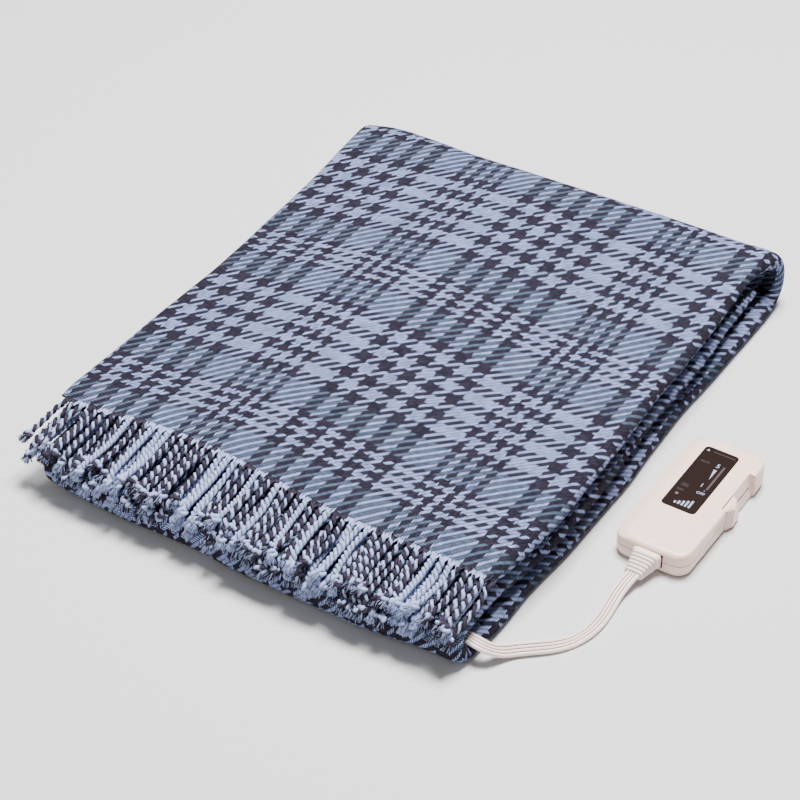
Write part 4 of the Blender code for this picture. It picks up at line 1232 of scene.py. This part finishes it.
def caseSection(inset, height):
    # one level of the case: its left shoulder slopes, its right edge is crisp
    box, steps = controller, controller["corner steps"]
    slope = max(height - box["shoulder low"], 0.0) / (box["height"] - box["shoulder low"])
    leftInset = max(inset, box["shoulder"] * slope + box["shoulder rounding"] * inset)
    rightInset = inset * (box["crisp"] if height > box["crisp low"] else 1.0)
    left, right = box["left"] + leftInset, box["right"] - rightInset
    near, far = box["near"] + inset, box["far"] - inset
    radius, leftRadius = box["corner"] - inset, box["corner"] - max(inset, box["shoulder corner"] * leftInset)
    side, turn = right + box["side bow"], box["wall corner"]
    # the recess's wall steps in a little at the joint and stays inside the rounded lower edge
    wall = min(recessWall(height) - box["wall step"] * min(inset, box["lip depth"]), right - box["wall lip"])
    arcs = [
        cornerArc(left + leftRadius, near + leftRadius, leftRadius, 180, steps),
        cornerArc(right - box["toe in"] - radius, near + radius, radius, 270, steps),
        cornerArc(right - radius, far - radius, radius, 0, steps),
        cornerArc(left + leftRadius, far - leftRadius, leftRadius, 90, steps),
    ]
    recessNear, recessFar = box["recess near"], box["recess far"]
    outer, inner = (turn * share for share in box["corner cut"])
    recess = [
        (side - box["toe in"], recessNear - turn), (side - box["toe in"] - outer, recessNear),
        (wall + inner, recessNear), (wall, recessNear + inner),
        (wall, recessFar - inner), (wall + inner, recessFar),
        (side - outer, recessFar), (side, recessFar + turn),
    ]
    return (
        arcs[0] + bowedEdge(arcs[0][-1], arcs[1][0], box["near bow"]) + arcs[1]
        + recess + arcs[2] + bowedEdge(arcs[2][-1], arcs[3][0], box["far bow"]) + arcs[3]
        + bowedEdge(arcs[3][-1], arcs[0][0], box["side bow"])
    )


def makeShell(name, rims, lip, lipFirst, material):
    points, _ = smoothRoute([(inset, height, 0) for inset, height in rims], controller["rim steps"])
    rows = [(max(p.x, 0.0), p.y) for p in points]
    rows = list(lip) + rows if lipFirst else rows + list(lip)
    builder = bmesh.new()
    loft(builder, [[(x, y, height) for x, y in caseSection(inset, height)] for inset, height in rows])
    return makePiece(name, builder, material, smoothAngle=32)


def roundedPlate(builder, box, corner, rows, steps=6, smallest=0.0002):
    # a slab with rounded corners: rows of how far in and how high
    left, right, near, far = box
    outlines = []
    for inset, height in rows:
        radius = max(corner - inset, smallest)
        lowX, highX = left + inset + radius, right - inset - radius
        lowY, highY = near + inset + radius, far - inset - radius
        outline = []
        for x, y, start in ((lowX, lowY, 180), (highX, lowY, 270), (highX, highY, 0), (lowX, highY, 90)):
            outline += [(*place, height) for place in cornerArc(x, y, radius, start, steps)]
        outlines.append(outline)
    loft(builder, outlines)


def mouldedAbs():
    # injection-moulded ABS in warm ivory: even colour, satin with a fine spark-eroded grain
    material, tree, shader = newMaterial("mouldedIvoryAbs", {
        "Roughness": 0.34, "IOR": 1.54, "Specular IOR Level": 0.5})
    place = addNode(tree, "ShaderNodeTexCoord").outputs["Object"]
    cloud, grain = (
        addNode(tree, "ShaderNodeTexNoise", {"Vector": place, "Scale": controller[scale], "Detail": 2.0})
        for scale in ("cloud scale", "grain scale"))
    tone = addNode(tree, "ShaderNodeMix", {
        "Factor": cloud, "A": fromHex(controller["tone"]), "B": fromHex(controller["warm tone"])},
        data_type="RGBA")
    # painted shade: the slider knob's hidden faces and its rib grooves turn dark brown
    joint = addNode(tree, "ShaderNodeAttribute", attribute_name="joint").outputs["Fac"]
    tone = addNode(tree, "ShaderNodeMix", {
        "Factor": joint, "A": tone, "B": fromHex(controller["painted shade tone"])}, data_type="RGBA")
    bump = addNode(tree, "ShaderNodeBump", {"Height": grain, "Strength": 0.06, "Distance": 0.0001})
    feed(tree, shader, {"Base Color": tone, "Normal": bump})
    return material


def deepShadow():
    # the unlit inside of a joint or slot: dull and nearly black-brown
    return cloudedMaterial(
        "shadowedAbs", controller["painted shade tone"], controller["shadow tone"], 0.9, 0.0, scale=400.0, detail=2.0)


details = {
    "slot": (0.0180, 0.0446),  # from near to far on the recess's wall
    "slot z": (0.0112, 0.0120),
    "slot end": (0.0004, 0.0003),  # how long an end narrows, and by how much
    "proud": 0.00012,  # of the dark slabs of painted shadow, so that they show
    "deep": 0.0008,
    "notches": (0.2543, 0.2565, 0.2587),
    "notch": (0.0011, 0.0050),  # wide, long
    "notch far": 0.0732,
    "notch z": (0.0206, 0.0219),
    "collar gap": (0.2762, 0.2777, 0.0068, 0.0186),  # left, right, low, high
    "lip": (0.2602, 0.2893),
    "lip steps": 20,
    "lip rise": 0.0005,
    "lip ends": 6,  # one part in this many fades out at each end
    # round the lip: y, z, and how far the rise moves each
    "lip line": (
        (-0.0042, 0.0221, 0, 0), (-0.0034, 0.0223, 0, 1), (-0.0022, 0.0217, 0, 1), (-0.0009, 0.0203, 0, 1),
        (-0.0001, 0.0188, 1, 0), (-0.0006, 0.0178, 0, 0), (-0.0040, 0.0190, 0, 0),
    ),
    "softened": 0.3,  # share of a bar's least size
}


def addBar(builder, low, high):
    # a small slab between two corners, its upper edges softened
    made = bmesh.ops.create_cube(builder, size=1.0)["verts"]
    for vert in made:
        for axis in range(3):
            vert.co[axis] = low[axis] + (high[axis] - low[axis]) * (vert.co[axis] + 0.5)
    floor = low[2] + 1e-7
    edges = {edge for vert in made for edge in vert.link_edges if all(v.co.z > floor for v in edge.verts)}
    size = min(high[axis] - low[axis] for axis in range(3)) * details["softened"]
    bmesh.ops.bevel(builder, geom=list(edges), offset=size, segments=2, profile=0.5, affect="EDGES")


def makeDetails(plastic, dark):
    box = controller
    # notched ribs that follow the far rim down, and the lip beside them
    builder = bmesh.new()
    wide, long = details["notch"]
    farY, (low, high) = details["notch far"], details["notch z"]
    for x in details["notches"]:
        addBar(builder, (x - wide / 2, farY - long, low), (x + wide / 2, farY, high))
    lipLow, lipHigh = details["lip"]
    middle = (box["left"] + box["right"]) / 2
    outlines = []
    for k in range(details["lip steps"] + 1):
        t = k / details["lip steps"]
        x = lipLow + (lipHigh - lipLow) * t
        bow = box["far bow"] * math.cos(math.pi * (x - middle) / (box["right"] - box["left"]))
        rise = details["lip rise"] * min(1.0, details["lip ends"] * t, details["lip ends"] * (1 - t))
        outlines.append([
            (x, box["far"] + bow + (y + rise * outBy), z + rise * upBy)
            for y, z, outBy, upBy in details["lip line"]])
    loft(builder, outlines)
    rim = makePiece("caseRibs", builder, plastic, smoothAngle=40)
    # a dark slab on the recess's wall is painted shadow for the slide's slot
    builder = bmesh.new()
    low, high = details["slot z"]
    near, far = details["slot"]
    narrow, shrink = details["slot end"]
    proud, deep = details["proud"], details["deep"]
    outlines = []
    for y, less in ((near, shrink), (near + narrow, 0.0), (far - narrow, 0.0), (far, shrink)):
        corners = ((-deep, low + less), (proud, low + less), (proud, high - less), (-deep, high - less))
        outlines.append([(recessWall(z) + x, y, z) for x, z in corners])
    loft(builder, outlines)
    # the opening for the cord's sleeve is a little wide on the slider's side; a dark slab paints the shadow
    # in it
    left, right, low, high = details["collar gap"]
    nearY = box["near"] - box["near bow"]
    addBar(builder, (left, nearY - proud, low), (right, nearY + deep, high))
    return rim, makePiece("slideSlot", builder, dark, smoothAngle=40)


knobShape = {
    "near": -0.0007,
    "peak": 0.0068,
    "length": 0.0195,
    "proud": 0.0022,
    "tip": 0.0036,
    "tip low": 0.3,
    "slant": 0.0012,
    "clear": 0.0005,
    "softness": (0.0003, 0.0003, 0.0006, 0.0003, 0.0003),  # how far each corner is cut back
    "corner steps": 3,
    "ribs": 5,
    "rib": (0.00032, 0.00030),  # half width and depth of the groove before each
    "rib profile": ((-1.0, 0.0), (-0.4, 1.0), (0.4, 1.0), (1.0, 0.0)),
    "rib end": 0.0006,
    "rib shade": 0.30,
    "shaded below": 0.0208,
    # height, share of the proud peak left there
    "rows": (
        (0.0020, 0.75), (0.0026, 0.93), (0.0036, 1.0), (0.0110, 1.0), (0.0192, 1.0), (0.0204, 0.82),
        (0.0211, 0.50), (0.0214, 0.2),
    ),
}


def makeKnob(material):
    # fills the near end of the recess and swells past the side; its hidden faces and its rib grooves carry
    # painted shade
    cuts = knobShape["corner steps"]
    outlines, shades = [], []
    for height, share in knobShape["rows"]:
        wall = recessWall(height) + knobShape["clear"]
        side = controller["right"] + controller["side bow"] * share
        tip = knobShape["tip"] * max(share, knobShape["tip low"])
        corners = [Vector(place) for place in (
            (wall, 0.0), (side - controller["toe in"], 0.0),
            (side + knobShape["proud"] * share, knobShape["peak"]),
            (wall + tip, knobShape["length"] - knobShape["slant"]), (wall, knobShape["length"]))]
        places = []
        for k, (corner, softness) in enumerate(zip(corners, knobShape["softness"])):
            # each corner is cut into a short curve
            before, after = corners[k - 1], corners[(k + 1) % len(corners)]
            one = corner + (before - corner).normalized() * softness
            two = corner + (after - corner).normalized() * softness
            for step in range(cuts + 1):
                t = step / cuts
                hidden = k == 0 or (k, step) in ((1, 0), (4, cuts))
                at = one * (1 - t) ** 2 + corner * 2 * t * (1 - t) + two * t * t
                places.append((at, 1.0 if hidden and height < knobShape["shaded below"] else 0.0))
            if k == 1:
                half, deep = knobShape["rib"]
                ahead = (after - two).normalized()
                inward = Vector((-ahead.y, ahead.x)) * deep * share
                room = (after - two).length - knobShape["rib end"]
                for rib in range(knobShape["ribs"]):
                    middle = two + ahead * room * (rib + 0.5) / knobShape["ribs"]
                    for along, sunk in knobShape["rib profile"]:
                        at = middle + ahead * (half * along) + inward * sunk
                        places.append((at, knobShape["rib shade"] * sunk))
        outlines.append([(at.x, at.y + knobShape["near"], height) for at, _ in places])
        shades.append([shade for _, shade in places])
    builder = bmesh.new()
    joint = builder.verts.layers.float.new("joint")
    for ring, line in zip(loft(builder, outlines), shades):
        for vert, shade in zip(ring, line):
            vert[joint] = shade
    return makePiece("sliderKnob", builder, material, smoothAngle=24)


sleeve = {
    "start": (0.2654, -0.0689, 0.0127),
    "end": (0.2640, -0.0893, 0.0092),
    "collar depth": 0.0048,
    # share of the collar's depth, width, height
    "collar rows": (
        (0.0, 0.0232, 0.0131), (0.06, 0.0236, 0.0135), (0.30, 0.0236, 0.0135), (0.42, 0.0228, 0.0133),
        (0.88, 0.0203, 0.0132), (0.97, 0.0192, 0.0127),
    ),
    "ribs": 5,
    "pitch": 0.0030,
    "wide": (0.0200, 0.0150),
    "tall": (0.0125, 0.0078),
    "groove": 0.0010,
    "groove shade": 0.14,  # painted shade in the moulded grooves, kept to a light tan
    "shade from": 0.55,  # share of a groove's depth
    "shade rise": 2.4,
    "sides": 28,
    "squareness": 0.40,
    # share of the pitch, share of the groove's depth
    "profile": (
        (0.0, 1.0), (0.16, 1.0), (0.26, 0.75), (0.34, 0.3), (0.46, 0.04), (0.62, 0.0), (0.80, 0.10),
        (0.92, 0.5),
    ),
}


def makeSleeve(material):
    collar = sleeve["collar depth"]
    stations = [(collar * share, wide, high, 0.0) for share, wide, high in sleeve["collar rows"]]
    for rib in range(sleeve["ribs"]):
        share = rib / (sleeve["ribs"] - 1)
        wide, high = (back + (front - back) * share for back, front in (sleeve["wide"], sleeve["tall"]))
        for part, sunk in sleeve["profile"]:
            inset = 2 * sleeve["groove"] * sunk
            stations.append((collar + (rib + part) * sleeve["pitch"], wide - inset, high - inset, sunk))
    start, end = Vector(sleeve["start"]), Vector(sleeve["end"])
    length = start.y - end.y
    outlines = []
    for distance, wide, high, _ in stations:
        middle = start.lerp(end, distance / length)
        outline = []
        for k in range(sleeve["sides"]):
            angle = 2 * math.pi * (k + 0.5) / sleeve["sides"]
            cosine, sine = math.cos(angle), math.sin(angle)
            x = math.copysign(abs(cosine) ** sleeve["squareness"], cosine) * wide / 2
            z = math.copysign(abs(sine) ** sleeve["squareness"], sine) * high / 2
            outline.append((middle.x + x, start.y - distance, middle.z + z))
        outlines.append(outline)
    builder = bmesh.new()
    layer = builder.verts.layers.float.new(grooveNames[-1])
    # painted shade on the groove floors, in the cord's third groove tone
    for ring, (*_, sunk) in zip(loft(builder, outlines), stations):
        shade = sleeve["groove shade"] * smoothStep((sunk - sleeve["shade from"]) * sleeve["shade rise"])
        for vert in ring:
            vert[layer] = shade
    return makePiece("ribbedSleeve", builder, material, smoothAngle=50)


inlet = {
    "box": (0.2605, 0.2860, 0.0050, 0.0186),
    "corner": 0.0022,
    "away": 0.0003,
    # how far in from the box, how far out from the case
    "rows": (
        (0.0, 0.0), (0.0, 0.0013), (0.0003, 0.0016), (0.0018, 0.0016), (0.0020, 0.0014), (0.0023, 0.0007),
    ),
}


def makeInlet(material):
    # a low collar round a shallow sunk face
    builder = bmesh.new()
    roundedPlate(builder, inlet["box"], inlet["corner"], inlet["rows"])
    # drawn flat, then stood up against the far end
    start = controller["far"] + controller["far bow"] + inlet["away"]
    builder.transform(Matrix(((1, 0, 0, 0), (0, 0, 1, start), (0, 1, 0, 0), (0, 0, 0, 1))))
    return makePiece("mainsInlet", builder, material, smoothAngle=35)


panel = {
    "box": (0.2490, 0.2782, -0.0193, 0.0600),
    "corner": 0.0036,
    "low": 0.0222,
    "top": 0.0228,
    "edge": 0.00012,
    "flat from": 0.0016,
    "ink rise": 0.00006,
    "film": ("1B110F", "1F1512"),
    "ink": ("8F98B4", "989DB2"),
    "dim ink": ("423A3C", "4A4042"),
    "letter depth": 0.01,  # of a word one unit high, before it is scaled
    "capital height": 0.70,
}
# words and numbers in the bright ink and in the dim one: text, x and y of the middle, height of its capitals
brightWords = (
    ("5", 0.2680, 0.0416, 0.0046),
    ("1", 0.2674, 0.0150, 0.0044),
    ("OFF", 0.2708, 0.0058, 0.0028),
)
dimWords = (("ON", 0.2552, 0.0020, 0.0024),)
# a wedge beside the numbers, a small arrow at the far end and, below, a pointer at the low end
brightShapes = (
    ((0.2690, 0.0236), (0.2695, 0.0366), (0.2668, 0.0366)),
    ((0.2513, 0.0545), (0.2541, 0.0545), (0.2527, 0.0568)),
)
pointer = ((0.2716, 0.0096), (0.2726, 0.0096), (0.2721, 0.0105))
# thin rules and, last, the slider's track: left, right, near, far
dimBoxes = (
    (0.2575, 0.2762, 0.0553, 0.0559),
    (0.2530, 0.2562, 0.0421, 0.0425),
    (0.2574, 0.2606, 0.0421, 0.0425),
    (0.2530, 0.2606, 0.0408, 0.0412),
    (0.2530, 0.2585, 0.0101, 0.0105),
    (0.2530, 0.2598, 0.0086, 0.0090),
    (0.2530, 0.2592, 0.0071, 0.0075),
    (0.27215, 0.27385, 0.0119, 0.0429),
)
levelBars = {
    "left": 0.2577,
    "near": -0.0142,
    "step": 0.0030,
    "wide": 0.0017,
    "first": 0.0026,
    "rise": 0.0016,
    "count": 5,
}


def boxPoints(left, right, near, far):
    return ((left, near), (right, near), (right, far), (left, far))


def addWord(builder, word, x, y, tall):
    curve = bpy.data.curves.new("word", "FONT")
    curve.body = word
    curve.size = 1.0
    curve.align_x = "CENTER"
    curve.align_y = "CENTER"
    curve.extrude = panel["letter depth"]
    curve.resolution_u = 3
    holder = bpy.data.objects.new("word", curve)
    bpy.context.scene.collection.objects.link(holder)
    bpy.context.view_layer.update()
    data = bpy.data.meshes.new_from_object(holder.evaluated_get(bpy.context.evaluated_depsgraph_get()))
    size = tall / panel["capital height"]
    rise = panel["ink rise"] / panel["letter depth"]
    data.transform(Matrix.Translation((x, y, panel["top"])) @ Matrix.Diagonal((size, size, rise, 1)))
    builder.from_mesh(data)
    bpy.data.objects.remove(holder)
    bpy.data.curves.remove(curve)
    bpy.data.meshes.remove(data)


def makeMarks(name, words, shapes, material):
    # thin raised marks on the label
    builder = bmesh.new()
    for word in words:
        addWord(builder, *word)
    low, high = panel["top"], panel["top"] + panel["ink rise"]
    for points in shapes:
        loft(builder, [[(x, y, z) for x, y in points] for z in (low, high)])
    bmesh.ops.remove_doubles(builder, verts=builder.verts, dist=1e-6)
    return makePiece(name, builder, material)


def makePanel():
    # screen-printed polyester film: dark brown with a low gloss, pale inks on it
    film = cloudedMaterial("printedPolyesterFilm", *panel["film"], 0.5, 0.05)
    ink = cloudedMaterial("paleScreenInk", *panel["ink"], 0.6, 0.2)
    dim = cloudedMaterial("greyScreenInk", *panel["dim ink"], 0.6, 0.1)
    builder = bmesh.new()
    low, top, edge = panel["low"], panel["top"], panel["edge"]
    rows = ((0.0, low), (0.0, top - edge), (edge, top), (panel["flat from"], top))
    roundedPlate(builder, panel["box"], panel["corner"], rows)
    plate = makePiece("labelPanel", builder, film, smoothAngle=30)
    shapes = list(brightShapes)
    for number in range(levelBars["count"]):
        left = levelBars["left"] + number * levelBars["step"]
        far = levelBars["near"] + levelBars["first"] + number * levelBars["rise"]
        shapes.append(boxPoints(left, left + levelBars["wide"], levelBars["near"], far))
    shapes.append(pointer)
    return (
        plate, makeMarks("panelMarks", brightWords, shapes, ink),
        makeMarks("panelScale", dimWords, [boxPoints(*box) for box in dimBoxes], dim))


lampShape = {
    "x": 0.2552,
    "y": -0.0034,
    "radius": 0.0014,
    "low": 0.0228,
    "rise": 0.0007,
    "sides": 20,
    "tones": ("5C4B49", "675553"),
    # share of the radius, share of the rise: a rim, and a dome inside it
    "rows": ((1.0, 0.0), (1.0, 0.35), (0.86, 0.42), (0.82, 0.36), (0.80, 0.60), (0.62, 0.84), (0.34, 0.97)),
}


def makeLamp():
    # diffusing lens of an unlit indicator: smooth milky acrylic
    lens = cloudedMaterial("milkyAcrylic", *lampShape["tones"], 0.35, 0.3)
    x, y, sides = lampShape["x"], lampShape["y"], lampShape["sides"]
    angles = [2 * math.pi * k / sides for k in range(sides)]
    outlines = []
    for share, height in lampShape["rows"]:
        radius = lampShape["radius"] * share
        z = lampShape["low"] + lampShape["rise"] * height
        outlines.append([(x + radius * math.cos(a), y + radius * math.sin(a), z) for a in angles])
    builder = bmesh.new()
    loft(builder, outlines)
    return makePiece("lampLens", builder, lens, smoothAngle=40)


ivoryAbs, shadow = mouldedAbs(), deepShadow()
caseBase = makeShell("caseBase", baseRims, baseLip, False, ivoryAbs)
caseTop = makeShell("caseTop", topRims, topLip, True, ivoryAbs)
caseRibs, slideSlot = makeDetails(ivoryAbs, shadow)
sliderKnob = makeKnob(ivoryAbs)
sleevePiece = makeSleeve(ivoryPvc)
mainsInlet = makeInlet(ivoryAbs)
labelPanel, panelMarks, panelScale = makePanel()
lampLens = makeLamp()
dress(caseBase, "case_base")
dress(caseTop, "case_top")
dress(caseRibs, None)
dress(slideSlot, None)
dress(sliderKnob, "slider_knob", sliderBody)
dress(sleevePiece, "cord_sleeve")
dress(mainsInlet, "mains_inlet")
dress(labelPanel, "label_panel")
dress(panelMarks, None)
dress(panelScale, None)
dress(lampLens, "lamp")
print("controller made")


stage = {
    "floor": "CACACA",
    "floor half": 6,
    "floor low": -0.0002,
    "sky": 0.3,
    # name, place, size, watts
    "lamps": (
        ("keyLight", (0.05, 0.4, 2.7), 1.0, 280.0),
        ("fillLight", (-0.4, -1.9, 1.7), 1.6, 10.0),
    ),
}


def makeStage():
    half = stage["floor half"]
    data = bpy.data.meshes.new("floor")
    corners = [(x, y, 0) for x, y in boxPoints(-half, half, -half, half)]
    data.from_pydata(corners, [], [(0, 1, 2, 3)])
    material, _, _ = newMaterial("paleFloor", {"Base Color": fromHex(stage["floor"]), "Roughness": 0.8})
    data.materials.append(material)
    floor = bpy.data.objects.new("floor", data)
    floor.location.z = stage["floor low"]
    bpy.context.scene.collection.objects.link(floor)
    world = bpy.data.worlds.new("studio")
    world.use_nodes = True
    feed(world.node_tree, world.node_tree.nodes["Background"], {0: (1.0, 1.0, 1.0, 1.0), 1: stage["sky"]})
    bpy.context.scene.world = world
    for name, place, size, power in stage["lamps"]:
        lamp = bpy.data.lights.new(name, "AREA")
        lamp.size = size
        lamp.energy = power
        thing = bpy.data.objects.new(name, lamp)
        thing.location = place
        thing.rotation_euler = (-Vector(place)).to_track_quat("-Z", "Y").to_euler()
        bpy.context.scene.collection.objects.link(thing)


makeStage()

print("scene finished")
